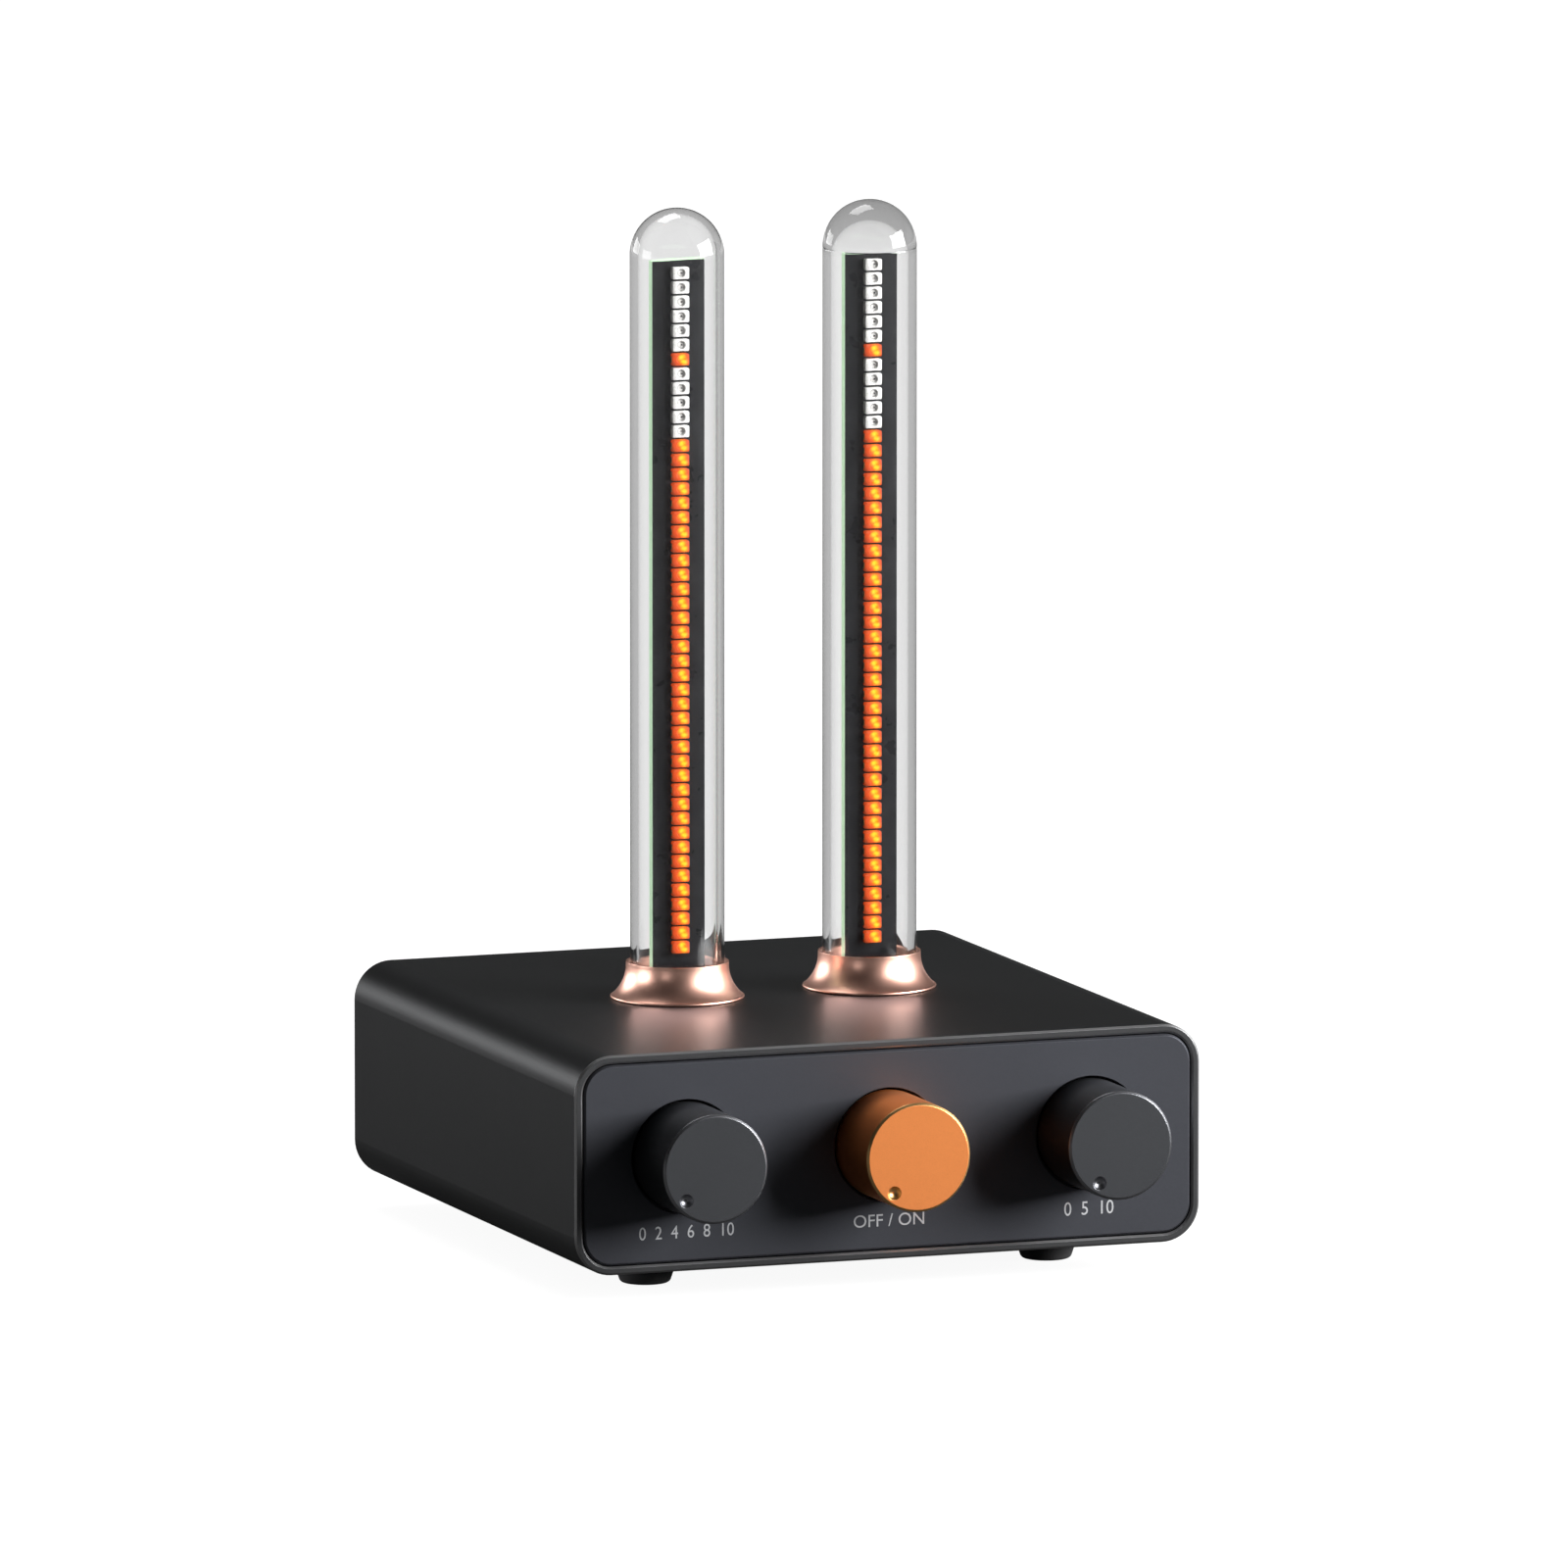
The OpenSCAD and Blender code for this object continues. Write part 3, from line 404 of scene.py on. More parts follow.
def glass_finish():
    """Clear glass that dims light a little with depth, and lets the studio's light through."""
    f = Finish("tube_glass")
    f.set(Base_Color=(1, 1, 1, 1), Roughness=0.0, IOR=1.48, Transmission_Weight=1.0)
    mix = f.add("ShaderNodeMixShader")
    path = f.add("ShaderNodeLightPath")
    clear = f.add("ShaderNodeBsdfTransparent")
    clear.inputs["Color"].default_value = (0.92, 0.92, 0.92, 1)
    f.link(path.outputs["Is Shadow Ray"], mix.inputs[0])
    f.link(f.shader.outputs["BSDF"], mix.inputs[1])
    f.link(clear.outputs["BSDF"], mix.inputs[2])
    f.link(mix.outputs[0], f.out.inputs["Surface"])
    dimming = f.add("ShaderNodeVolumeAbsorption")
    dimming.inputs["Color"].default_value = (0.5, 0.5, 0.5, 1)
    dimming.inputs["Density"].default_value = 96
    f.link(dimming.outputs["Volume"], f.out.inputs["Volume"])
    return f.material


def lamp_place(f):
    """Across and up from the middle of the lamp that a point belongs to."""
    apart = 2 * TUBE_X * MM
    across = f.math("MODULO", f.math("ADD", f.axis("X"), apart), apart)
    across = f.math("SUBTRACT", across, apart / 2)
    step = LAMP_PITCH * MM
    up = f.math("ADD", f.axis("Z"), step / 2 - LAMP_Z * MM)
    up = f.math("SUBTRACT", f.math("MODULO", up, step), step / 2)
    return f.math("MULTIPLY", across, 1 / MM), f.math("MULTIPLY", up, 1 / MM)


def blob(f, across, up, x, z, wide, high):
    """How far a point lies from a spot on the lamp, where 1 is the spot's rim."""
    dx = f.math("DIVIDE", f.math("SUBTRACT", across, x), wide)
    dz = f.math("DIVIDE", f.math("SUBTRACT", up, z), high)
    return f.math("SQRT", f.math("ADD", f.math("MULTIPLY", dx, dx), f.math("MULTIPLY", dz, dz)))


def lit_finish():
    """A lit lamp: yellow over the crystal and the wire, deep orange through the body round them."""
    f = Finish("lamp_lit")
    across, up = lamp_place(f)
    grain = f.noise(0.45, 2, 0.6)
    wire_spot = blob(f, across, up, x=0.22, z=0.36, wide=0.50, high=0.50)
    crystal_spot = blob(f, across, up, x=0.60, z=-0.42, wide=0.46, high=0.42)
    far = f.math("SMOOTH_MIN", wire_spot, crystal_spot)
    far = f.math("ADD", far, f.spread(grain, 0.3, 0.7, -0.16, 0.16))
    glow = f.ramp(f.math("DIVIDE", far, 4.0), [
        (0.0, (1.45, 1.00, 0.05)),
        (0.16, (1.40, 0.78, 0.03)),
        (0.30, (1.20, 0.32, 0.008)),
        (0.46, (1.02, 0.115, 0.004)),
        (0.78, (0.78, 0.070, 0.004)),
        (1.0, (0.30, 0.036, 0.006))])
    f.set(Base_Color=(0.05, 0.008, 0.002, 1), Roughness=0.45, Specular_IOR_Level=0.3,
          Emission_Color=glow, Emission_Strength=1.0)
    return f.material


def dark_finish():
    """White lamp body, unlit, with painted shade: a greyer ring where the cup's wall turns, and a grey
    left edge.
    """
    f = Finish("lamp_white")
    across, up = lamp_place(f)
    skin = f.noise(0.4, 3, 0.6)
    # Painted shade: the ring where the cup's wall turns is greyer, and so is each lamp's left edge.
    ring = blob(f, across, up, x=0.05, z=0, wide=0.62, high=0.58)
    ring = f.spread(f.math("ABSOLUTE", f.math("SUBTRACT", ring, 1.0)), 0.0, 0.32, 0.55, 1.0)
    side = f.spread(across, -1.5, -0.6, 0.66, 1.0)
    tone = f.math("MULTIPLY", f.math("MULTIPLY", ring, side), f.spread(skin, 0.3, 0.7, 0.74, 1.1))
    f.set(Base_Color=f.ramp(tone, [(0.0, (0.0, 0.0, 0.0)), (1.0, (0.88, 0.87, 0.85))]),
          Roughness=0.38, Specular_IOR_Level=0.5)
    f.bump(skin, 0.15, 0.02)
    return f.material


GREEN_MASK = (0.012, 0.075, 0.028)
GREEN_LINE = (0.02, 0.11, 0.045)
BLACK_MASK = (0.0085, 0.0088, 0.0105)
BLACK_LINE = (0.0125, 0.013, 0.015)

finish = {
    "case": sleeve_finish(),
    "panel": panel_finish(),
    "grey_knob": turned_knob("knob_grey", (0.084, 0.087, 0.094), painted_highlight_colour=(0.34, 0.345, 0.37)),
    "orange_knob": turned_knob("knob_orange", (0.99, 0.34, 0.104), painted_highlight_colour=(1.0, 0.62, 0.26)),
    "copper": copper_finish(),
    "glass": glass_finish(),
    "lit": lit_finish(),
    "dark": dark_finish(),
    "rubber": plastic("foot_rubber", (0.085, 0.085, 0.088), rough=0.62, level=0.3),
    "black_plastic": plastic("plastic_black", (0.02, 0.02, 0.021), rough=0.42),
    "pot_plastic": plastic("plastic_grey", (0.16, 0.17, 0.18), rough=0.5),
    "blue": plastic("sleeve_blue", (0.03, 0.07, 0.22), rough=0.35),
    "steel": plain_metal("steel", (0.56, 0.57, 0.58), rough=0.3),
    "black_steel": plain_metal("screw_black", (0.045, 0.045, 0.048), rough=0.38),
    "plated": plain_metal("plated_steel", (0.66, 0.66, 0.64), rough=0.24),
    "brass": plain_metal("brass", (0.78, 0.60, 0.28), rough=0.28),
    "bare": plain_metal("bare_metal", (0.62, 0.63, 0.65), rough=0.34),
    "dull": plain_metal("dull_metal", (0.10, 0.10, 0.105), rough=0.6),
    "via": plastic("covered_hole", (0.06, 0.058, 0.054), rough=0.4, level=0.3, skin_mm=0.2),
    "green_board": circuit_board("board_green", GREEN_MASK, GREEN_LINE, rough=0.35),
    "black_board": circuit_board("board_black", BLACK_MASK, BLACK_LINE, rough=0.3),
    "glowing_board_edge": glowing_board_edge_finish(),
    "gold": plain_metal("pad_gold", (0.80, 0.62, 0.30), rough=0.3, patch_mm=0.4),
    "die": plastic("lamp_die", (0.03, 0.028, 0.03), rough=0.25, level=0.5, skin_mm=0.1),
    "ink": plastic("mark_grey", (0.60, 0.61, 0.63), rough=0.5, level=0.3, skin_mm=0.25,
                   spread=0.05, depth=0.004, edge=0.02)}

node_finish = {
    "case": ["case_sleeve"],
    "panel": ["front_panel", "rear_panel"],
    "dull": ["pot_plate"],
    "bare": ["left_collar_nut", "right_collar_nut", "line_jack_nut"],
    "black_steel": ["rear_screws", "pot_plate_screws"],
    "steel": ["foot_screws", "foot_nuts", "board_screws", "power_inlet", "sensitivity_shaft",
              "light_shaft", "delay_shaft"],
    "plated": ["pot_washers", "pot_nuts", "microphone"],
    "brass": ["board_standoffs"],
    "rubber": ["front_left_foot", "front_right_foot", "rear_left_foot", "rear_right_foot",
               "left_seal_ring", "right_seal_ring"],
    "green_board": ["main_board"],
    "black_plastic": ["controller_chip", "power_chip", "inlet_tongue", "line_jack", "sensitivity_hub",
                      "light_hub", "delay_hub", "left_board_holder", "right_board_holder",
                      "left_driver_chips", "right_driver_chips", "left_bar_socket",
                      "right_bar_socket"],
    "pot_plastic": ["sensitivity_pot", "light_pot", "delay_pot"],
    "blue": ["capacitors"],
    "grey_knob": ["sensitivity_knob", "delay_knob"],
    "orange_knob": ["light_knob"],
    "copper": ["left_collar", "right_collar"],
    "glass": ["left_tube", "right_tube"],
    "black_board": ["left_light_bar", "right_light_bar"],
    "lit": ["left_lit_lamps", "right_lit_lamps"],
    "dark": ["left_dark_lamps", "right_dark_lamps"]}
for key, names in node_finish.items():
    for name in names:
        nodes[name].data.materials.clear()
        nodes[name].data.materials.append(finish[key])


# Pieces built here
def piece(name, mesh, materials, slot, *stands_for):
    """Puts a mesh in the scene, on the case, in place of the CAD nodes that it stands for."""
    obj = bpy.data.objects.new(name, mesh)
    bpy.context.scene.collection.objects.link(obj)
    for key in materials:
        mesh.materials.append(finish[key])
    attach(obj, "case")
    if stands_for:
        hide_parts(*stands_for)


def turned(name, profile, x, y, steps):
    """A mesh turned round an upright axis. A profile point is a radius and a height."""
    points = []
    faces = []
    rings = []
    for radius, height in profile:
        if radius == 0:
            rings.append([len(points)])
            points.append(mm(x, y, height))
            continue
        ring = []
        for i in range(steps):
            a = 2 * math.pi * i / steps
            ring.append(len(points))
            points.append(mm(x + radius * math.cos(a), y + radius * math.sin(a), height))
        rings.append(ring)
    for low, high in zip(rings, rings[1:] + rings[:1]):
        if len(low) == 1 and len(high) == 1:
            continue
        for i in range(steps):
            j = (i + 1) % steps
            if len(low) == 1:
                faces.append((low[0], high[j], high[i]))
            elif len(high) == 1:
                faces.append((low[i], low[j], high[0]))
            else:
                faces.append((low[i], low[j], high[j], high[i]))
    mesh = bpy.data.meshes.new(name)
    mesh.from_pydata(points, [], faces)
    mesh.shade_smooth()
    mesh.set_sharp_from_angle(angle=math.radians(50))
    return mesh


def dome(radius, centre_z):
    """Profile points of a quarter circle from its foot to just short of its pole."""
    angles = [math.pi / 2 * i / DOME_STEPS for i in range(DOME_STEPS)]
    return [(radius * math.cos(a), centre_z + radius * math.sin(a)) for a in angles]


def tube_profile(inner_dome_z, seam):
    """Up the outside and over the dome, then down the inside to the fire-polished foot."""
    foot = [TUBE_FOOT_Z + FOOT_LIP + 0.05, TUBE_FOOT_Z + 1, MIDDLE_Z]
    profile = [(TUBE_R - FOOT_LIP, TUBE_FOOT_Z), (TUBE_R, TUBE_FOOT_Z + FOOT_LIP)]
    profile += [(TUBE_R, z) for z in foot + [DOME_Z - 1]]
    if seam:
        profile += [(TUBE_R - depth, DOME_Z - below) for below, depth in SEAM]
    else:
        profile.append((TUBE_R, DOME_Z - 0.05))
    profile += dome(TUBE_R, DOME_Z)
    profile += [(0, DOME_Z + TUBE_R), (0, inner_dome_z + BORE_R)]
    profile += reversed(dome(BORE_R, inner_dome_z))
    profile += [(BORE_R, z) for z in [inner_dome_z - 0.05, inner_dome_z - 1] + foot[::-1]]
    profile += [(BORE_R, TUBE_FOOT_Z + FOOT_LIP), (BORE_R + FOOT_LIP, TUBE_FOOT_Z)]
    return profile


def circle_outline(r, steps):
    angles = [2 * math.pi * i / steps for i in range(steps)]
    return [(r * math.cos(a), r * math.sin(a)) for a in angles]


def body_outline(inset, r):
    """A lamp body's outline at even angles, with round corners of which the upper right is cut off."""
    w = LAMP_W - inset
    h = LAMP_H - inset
    points = []
    for c, s in circle_outline(1, LAMP_STEPS):
        # a ray that runs along one axis never meets the sides across it
        reach_x = w / 2 / abs(c) if abs(c) > 1e-9 else math.inf
        reach_z = h / 2 / abs(s) if abs(s) > 1e-9 else math.inf
        reach = min(reach_x, reach_z)
        px, pz = c * reach, s * reach
        cx, cz = w / 2 - r, h / 2 - r
        if abs(px) > cx and abs(pz) > cz:
            # the ray's crossing with the corner's arc
            ox, oz = math.copysign(cx, px), math.copysign(cz, pz)
            b = c * ox + s * oz
            inside = b * b - (ox * ox + oz * oz - r * r)
            reach = b + math.sqrt(max(inside, 0))
            px, pz = c * reach, s * reach
        limit = (w + h) / 2 - LAMP_CUT
        if px > 0 and pz > 0 and px + pz > limit:
            shrink = limit / (px + pz)
            px, pz = px * shrink, pz * shrink
        points.append((px, pz))
    return points


def loft(bm, loops, x, z, key):
    """Joins outlines that lie at rising or falling y, and closes both ends."""
    rings = []
    for outline, y in loops:
        rings.append([bm.verts.new(mm(x + px, y, z + pz)) for px, pz in outline])
    count = len(rings[0])
    for first, second in zip(rings, rings[1:]):
        for i in range(count):
            j = (i + 1) % count
            face = bm.faces.new((first[i], second[i], second[j], first[j]))
            face.material_index = key
            face.smooth = True
    for end in (rings[-1], rings[0][::-1]):
        bm.faces.new(end).material_index = key


def block(bm, low, high, edge, key):
    """A box with softened edges, from its low and its high corner."""
    made = bmesh.ops.create_cube(bm, size=1)["verts"]
    size = [b - a for a, b in zip(low, high)]
    middle = [(a + b) / 2 for a, b in zip(low, high)]
    for v in made:
        v.co = mm(*[m + c * s for m, c, s in zip(middle, v.co, size)])
    edges = list(dict.fromkeys(e for v in made for e in v.link_edges))
    cut = bmesh.ops.bevel(bm, geom=edges, offset=edge * MM, segments=2, affect="EDGES", profile=0.5)
    faces = list(dict.fromkeys(f for v in cut["verts"] for f in v.link_faces))
    for f in faces:
        f.material_index = key
        f.smooth = True
    return faces


def plate(bm, x, z, sides, front, back, edge, key):
    """A block by its left, right, lower and upper side from a lamp's middle, and its front and back."""
    left, right, low, high = sides
    block(bm, (x + left, front, z + low), (x + right, back, z + high), edge, key)


def finished(bm, name, angle):
    """The mesh of a bmesh, with a hard edge wherever two faces meet at more than the angle."""
    mesh = bpy.data.meshes.new(name)
    bmesh.ops.recalc_face_normals(bm, faces=bm.faces)
    bm.to_mesh(mesh)
    bm.free()
    mesh.set_sharp_from_angle(angle=math.radians(angle))
    return mesh


BODY, METAL, CRYSTAL = range(3)


def lamp(bm, x, z, lit):
    """One surface-mount lamp: a body with a cut corner and a round cup, its two terminals and, in a
    dark one, the lead frame, crystal and wire that show in the cup."""
    front = BAR_Y - LAMP_T
    cup_floor = front + CUP_DEPTH
    loops = [
        (body_outline(inset=0, r=0.04), BAR_Y - 0.01),
        (body_outline(inset=0, r=0.05), front + 0.06),
        (body_outline(inset=0.05, r=0.05), front + 0.015),
        (body_outline(inset=0.12, r=0.05), front),
        (circle_outline(CUP_R, LAMP_STEPS), front + 0.01),
        (circle_outline(CUP_R - 0.04, LAMP_STEPS), front + 0.05),
        (circle_outline(CUP_FLOOR_R, LAMP_STEPS), cup_floor)]
    loft(bm, loops, x, z, BODY)
    if not lit:
        for sides in LEAD_FRAME:
            plate(bm, x, z, sides, cup_floor - LEAD_T, cup_floor + LEAD_T, 0.01, METAL)
        plate(bm, x, z, DIE, cup_floor - DIE_T, cup_floor - LEAD_T, 0.02, CRYSTAL)
        wire(bm, x, z, cup_floor)
    for side in (-1, 1):
        middle = side * (LAMP_W / 2 + 0.01)
        sides = (middle - TERMINAL_T / 2, middle + TERMINAL_T / 2, -TERMINAL_H / 2, TERMINAL_H / 2)
        plate(bm, x, z, sides, front + 0.5, BAR_Y - 0.01, 0.03, METAL)


def wire(bm, x, z, cup_floor):
    """The bond wire, an arc from the crystal to the other half of the lead frame."""
    start = x + (DIE[0] + DIE[1]) / 2
    last = None
    for i in range(WIRE_BENDS + 1):
        t = i / WIRE_BENDS
        px = start - WIRE_REACH * t
        py = cup_floor - DIE_T * (1 - t) - WIRE_RISE * math.sin(math.pi * t)
        ring = [bm.verts.new(mm(px, py + dy, z + dz)) for dy, dz in circle_outline(WIRE_R, 4)]
        if last:
            for j in range(4):
                k = (j + 1) % 4
                face = bm.faces.new((last[j], last[k], ring[k], ring[j]))
                face.material_index = METAL
        last = ring


def lamps(name, x, numbers, lit, stands_for):
    """The lamps of one bar that are lit, or those that are dark, as one piece."""
    bm = bmesh.new()
    for i in numbers:
        lamp(bm, x, LAMP_Z + i * LAMP_PITCH, lit)
    keys = ["lit", "gold"] if lit else ["dark", "dark", "die"]
    piece(name, finished(bm, name, 35), keys, "lit_lamp" if lit else "dark_lamp", stands_for)


MASK, CUT_EDGE, HOLE = range(3)


def light_bar(name, x, stands_for):
    """The upright board: black mask on both faces, pale cut edges, and by each lamp two pads, a covered
    hole and a stretch of trace, all under the mask."""
    bm = bmesh.new()
    low = (x - BAR_W / 2, BAR_Y, BAR_FOOT_Z)
    high = (x + BAR_W / 2, BAR_Y + BAR_T, BAR_TOP_Z)
    for face in block(bm, low, high, BAR_EDGE, MASK):
        face.normal_update()
        face.material_index = MASK if abs(face.normal.y) > 0.9 else CUT_EDGE
    for i in range(LAMP_COUNT):
        z = LAMP_Z + i * LAMP_PITCH
        for middle in (-PAD_X, PAD_X):
            sides = (middle - PAD_W / 2, middle + PAD_W / 2, -PAD_H / 2, PAD_H / 2)
            plate(bm, x, z, sides, BAR_Y - 0.03, BAR_Y + 0.02, 0.02, MASK)
        top = circle_outline(HOLE_R - 0.03, 12)
        foot = circle_outline(HOLE_R, 12)
        loft(bm, [(top, BAR_Y - 0.02), (foot, BAR_Y + 0.01)], x + HOLE_X, z + HOLE_Z, HOLE)
        plate(bm, x, z, TRACE, BAR_Y - 0.02, BAR_Y + 0.01, 0.01, MASK)
    piece(name, finished(bm, name, 20), ["black_board", "glowing_board_edge", "via"], "black_board", stands_for)


def words(name, text, left, right, low, high):
    """Flat marks just over the front panel, fitted between the given sides."""
    curve = bpy.data.curves.new(name, "FONT")
    curve.body = text
    curve.resolution_u = 6
    source = bpy.data.objects.new(name + "_source", curve)
    bpy.context.scene.collection.objects.link(source)
    bpy.context.view_layer.update()
    mesh = bpy.data.meshes.new_from_object(source.evaluated_get(bpy.context.evaluated_depsgraph_get()))
    bpy.data.objects.remove(source, do_unlink=True)
    xs = sorted(v.co.x for v in mesh.vertices)
    ys = sorted(v.co.y for v in mesh.vertices)
    for v in mesh.vertices:
        across = (v.co.x - xs[0]) / (xs[-1] - xs[0])
        up = (v.co.y - ys[0]) / (ys[-1] - ys[0])
        v.co = mm(left + across * (right - left), FRONT_Y - 0.012, low + up * (high - low))
    mesh.materials.clear()
    piece(name, mesh, ["ink"], "bare_metal")


lit_numbers = [i for i in range(LAMP_COUNT) if i < LIT_COUNT or i == PEAK_LAMP]
dark_numbers = [i for i in range(LAMP_COUNT) if i not in lit_numbers]
for side, x, inner in (("left", -TUBE_X, LEFT_INNER_DOME_Z), ("right", TUBE_X, RIGHT_INNER_DOME_Z)):
    glass = turned(side + "_glass", tube_profile(inner, seam=side == "right"), x, TUBE_Y, TUBE_STEPS)
    piece(side + "_glass", glass, ["glass"], "clear_glass", side + "_tube")
    light_bar(side + "_board", x, side + "_light_bar")
    lamps(side + "_lit_packages", x, lit_numbers, True, side + "_lit_lamps")
    lamps(side + "_dark_packages", x, dark_numbers, False, side + "_dark_lamps")

words("sensitivity_marks", "0  2  4  6  8  10", left=-46.2, right=-28.7,
      low=CASE_Z + 5.85, high=CASE_Z + 8.13)
words("light_marks", "OFF / ON", left=-6.5, right=6.6, low=CASE_Z + 5.8, high=CASE_Z + 8.0)
words("delay_marks", "0  5  10", left=32.7, right=41.9, low=CASE_Z + 5.7, high=CASE_Z + 8.1)


# Floor, backdrop and light. From here on lengths are in metres.
WHITE = (1, 1, 1, 1)
# How white the front and the rear of the studio look by way of the tubes' walls
FRONT_SHARE = 0.06
REAR_SHARE = 0.57


def through_glass(n, path, back):
    """White straight through the tubes, and the studio's grey by way of a reflection in their walls."""
    first = n.math("LESS_THAN", path["Diffuse Depth"], 0.5)
    share = n.math("MAXIMUM", n.math("LESS_THAN", path["Glossy Depth"], 0.5), back)
    return n.math("MULTIPLY", n.math("MULTIPLY", path["Is Transmission Ray"], first), share)


def brightest(n, *values):
    """The highest of the values."""
    top = values[0]
    for value in values[1:]:
        top = n.math("MAXIMUM", top, value)
    return top


def floor_finish():
    """A pale floor that reads white, and still takes the object's shadow."""
    f = Finish("floor_pale")
    f.tree.nodes.remove(f.shader)
    path = f.add("ShaderNodeLightPath").outputs
    matt = f.add("ShaderNodeBsdfDiffuse")
    f.link(f.spread(path["Is Camera Ray"], 0, 1, 0.03, 0.20), matt.inputs["Color"])
    shine = f.add("ShaderNodeEmission")
    shine.inputs["Color"].default_value = WHITE
    flat = f.add("ShaderNodeCombineXYZ")
    f.link(f.axis("X"), flat.inputs[0])
    f.link(f.axis("Y"), flat.inputs[1])
    length = f.add("ShaderNodeVectorMath", operation="LENGTH")
    f.link(flat.outputs[0], length.inputs[0])
    away = length.outputs["Value"]
    # Seen straight on, the floor is a little less white near the object. In reflections it is dim near
    # the object and white far off, and ambient occlusion paints shade into it under and round the object.
    painted_contact_shade = f.add("ShaderNodeAmbientOcclusion", samples=8)
    painted_contact_shade.inputs["Distance"].default_value = 0.12
    direct = f.math("MULTIPLY", path["Is Camera Ray"], f.spread(away, 0.2, 0.9, 0.93, 1.0))
    mirrored = f.math("MULTIPLY", path["Is Glossy Ray"], f.spread(away, 0.6, 3.0, 0.05, 1.0))
    mirrored = f.math("MULTIPLY", mirrored, painted_contact_shade.outputs["AO"])
    # a singular bounce through glass counts as glossy too, so that share is left to through_glass
    mirrored = f.math("MULTIPLY", mirrored, path["Is Reflection Ray"])
    back = f.spread(f.axis("Y"), -0.15, 0.05, FRONT_SHARE, REAR_SHARE)
    f.link(brightest(f, direct, mirrored, through_glass(f, path, back)), shine.inputs["Strength"])
    both = f.add("ShaderNodeAddShader")
    f.link(matt.outputs[0], both.inputs[0])
    f.link(shine.outputs[0], both.inputs[1])
    f.link(both.outputs[0], f.out.inputs["Surface"])
    return f.material


FLOOR_R = 14.0
FLOOR_STEPS = 48
floor_mesh = bpy.data.meshes.new("floor")
floor_rim = [(px, py, 0) for px, py in circle_outline(FLOOR_R, FLOOR_STEPS)]
floor_mesh.from_pydata(floor_rim, [], [list(range(FLOOR_STEPS))])
floor_mesh.materials.append(floor_finish())
floor = bpy.data.objects.new("floor", floor_mesh)
bpy.context.scene.collection.objects.link(floor)


def studio_world():
    """White behind the object. Metal and glass mirror a pale backdrop up to the horizon, the dark
    studio above it and a lighter wall on the right."""
    world = bpy.data.worlds.new("studio")
    world.use_nodes = True
    w = Nodes(world.node_tree)
    path = w.add("ShaderNodeLightPath").outputs
    way = w.add("ShaderNodeTexCoord").outputs["Generated"]
    towards = w.split(way)
    toward_wall = w.add("ShaderNodeVectorMath", operation="DOT_PRODUCT")
    w.link(way, toward_wall.inputs[0])
    toward_wall.inputs[1].default_value = (0.966, 0.259, 0)
    wall = w.spread(toward_wall.outputs["Value"], 0.90, 0.985, 0.0, 0.45)
    dim = w.spread(towards["Y"], -0.6, 0.1, 0.006, 0.036)
    horizon = w.spread(towards["Z"], 0.02, 0.0)
    backdrop = w.math("MULTIPLY", horizon, w.spread(towards["Y"], -0.4, 0.0, 0.1, 1.0))
    mirrored = w.math("MULTIPLY", brightest(w, backdrop, wall, dim), path["Is Reflection Ray"])
    mirrored = w.math("MULTIPLY", mirrored, w.math("LESS_THAN", path["Diffuse Depth"], 0.5))
    # matt surfaces get a little light from the room behind the object
    matt_share = w.math("MULTIPLY", w.spread(towards["Y"], -0.1, 0.5, 0.01, 0.85),
                        w.math("GREATER_THAN", path["Diffuse Depth"], 0.5))
    through = through_glass(w, path, w.spread(towards["Y"], -0.2, 0.2, FRONT_SHARE, REAR_SHARE))
    room = w.add("ShaderNodeBackground")
    room.inputs["Color"].default_value = WHITE
    w.link(brightest(w, path["Is Camera Ray"], mirrored, matt_share, through), room.inputs["Strength"])
    w.link(room.outputs[0], w.add("ShaderNodeOutputWorld").inputs["Surface"])
    return world


bpy.context.scene.world = studio_world()


def light_group(name, members, state):
    """A collection for light linking. Its members alone are lit, or are left out, as the state says."""
    group = bpy.data.collections.new(name)
    for member in members:
        group.objects.link(nodes[member])
    for entry in group.collection_objects:
        entry.light_linking.link_state = state
    return group


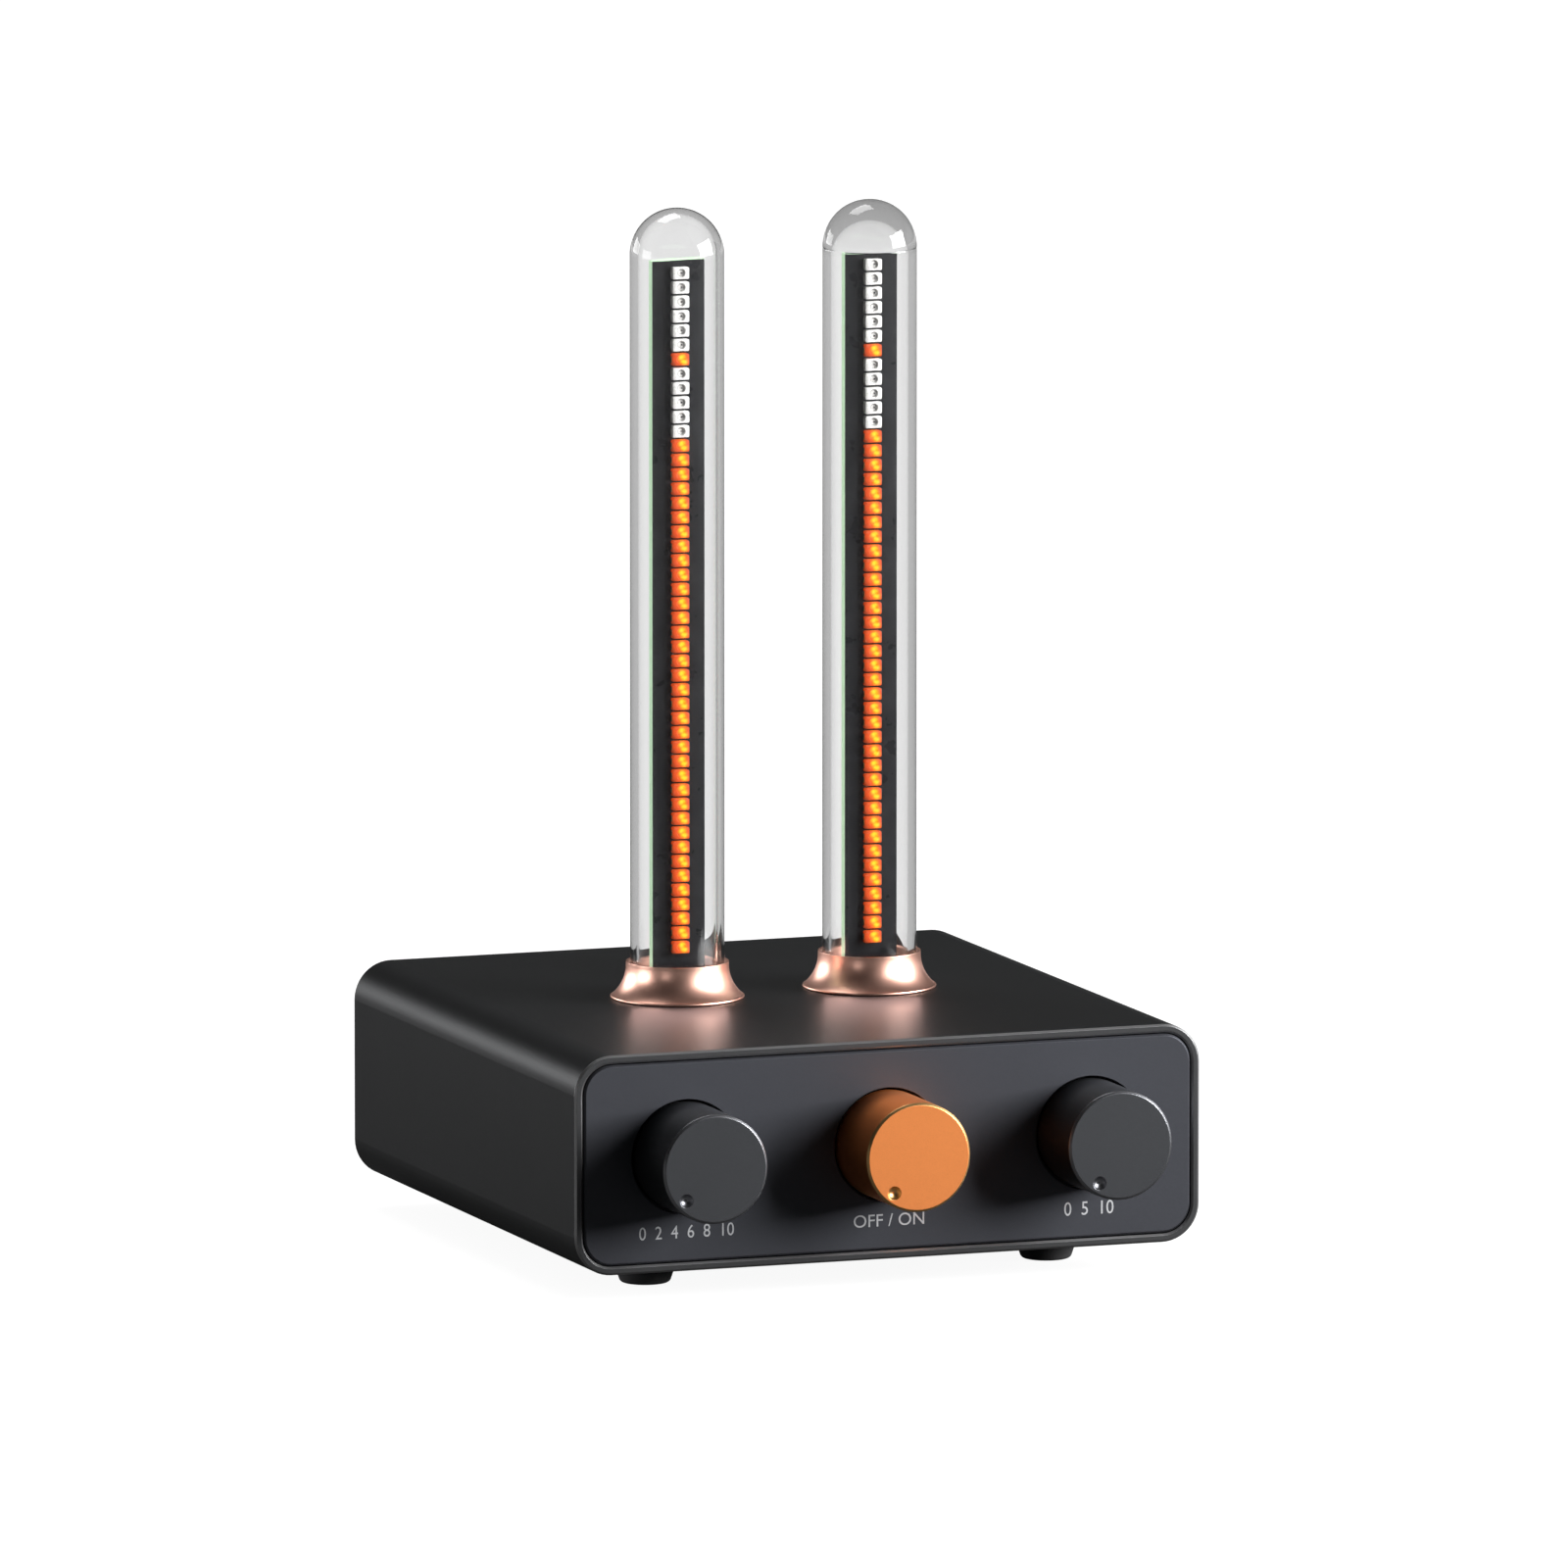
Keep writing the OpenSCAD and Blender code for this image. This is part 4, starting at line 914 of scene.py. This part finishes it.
def softbox(name, azimuth, elevation, distance, size, radiance, aim=(0, 0, 45), only=(), without=(),
            colour=(1, 1, 1)):
    """An area lamp. Seen from the aim point, which is in millimetres, it stands at the azimuth, where 0
    is the front and 90 the right side, and at the elevation. It lights all, only some or all but some."""
    a, e = math.radians(azimuth), math.radians(elevation)
    way = Vector((math.sin(a) * math.cos(e), -math.cos(a) * math.cos(e), math.sin(e)))
    data = bpy.data.lights.new(name, "AREA")
    data.shape = "RECTANGLE"
    data.size, data.size_y = size
    data.color = colour
    data.energy = radiance * math.pi * size[0] * size[1]
    lamp_object = bpy.data.objects.new(name, data)
    lamp_object.location = mm(*aim) + way * distance
    lamp_object.rotation_mode = "QUATERNION"
    lamp_object.rotation_quaternion = (-way).to_track_quat("-Z", "Y")
    lamp_object.visible_camera = False
    lamp_object.visible_transmission = False
    bpy.context.scene.collection.objects.link(lamp_object)
    if only:
        lamp_object.light_linking.receiver_collection = light_group(name + "_lit", only, "INCLUDE")
    if without:
        lamp_object.light_linking.receiver_collection = light_group(name + "_unlit", without, "EXCLUDE")


collars = ("left_collar", "right_collar")
knobs = ("sensitivity_knob", "light_knob", "delay_knob")
softbox("key", azimuth=60, elevation=19, distance=1.4, size=(1.02, 0.70), radiance=20, aim=(0, -52, 30))
softbox("left_rear", azimuth=-142, elevation=10, distance=1.6, size=(0.80, 0.42), radiance=4.2,
        without=knobs)
softbox("left_side", azimuth=-100, elevation=6, distance=1.6, size=(0.76, 0.42), radiance=4.2,
        without=knobs)
softbox("above", azimuth=-172, elevation=64, distance=1.5, size=(0.80, 0.60), radiance=5, aim=(0, 0, 100))
# These give the polished copper its wide soft reflections
softbox("copper_front", azimuth=30, elevation=17, distance=1.4, size=(0.44, 0.90), radiance=3.8,
        only=collars)
softbox("copper_left", azimuth=-46, elevation=6, distance=1.6, size=(0.30, 0.30), radiance=2.6,
        only=collars)
softbox("copper_rear", azimuth=-142, elevation=12, distance=1.6, size=(0.84, 0.60), radiance=3,
        only=collars)
softbox("copper_side", azimuth=-100, elevation=8, distance=1.6, size=(0.80, 0.60), radiance=3,
        only=collars)
# And these, close before each collar, throw its light forward over the case's top
for side, x in (("left", -TUBE_X), ("right", TUBE_X)):
    softbox(side + "_sheen", azimuth=160, elevation=0, distance=0, size=(0.017, 0.006), radiance=2.3,
            aim=(x - 3.2, TUBE_Y - 10.2, 47.6), only=("case_sleeve",), colour=(1, 0.62, 0.56))

scene = bpy.context.scene
scene.view_settings.view_transform = "Standard"
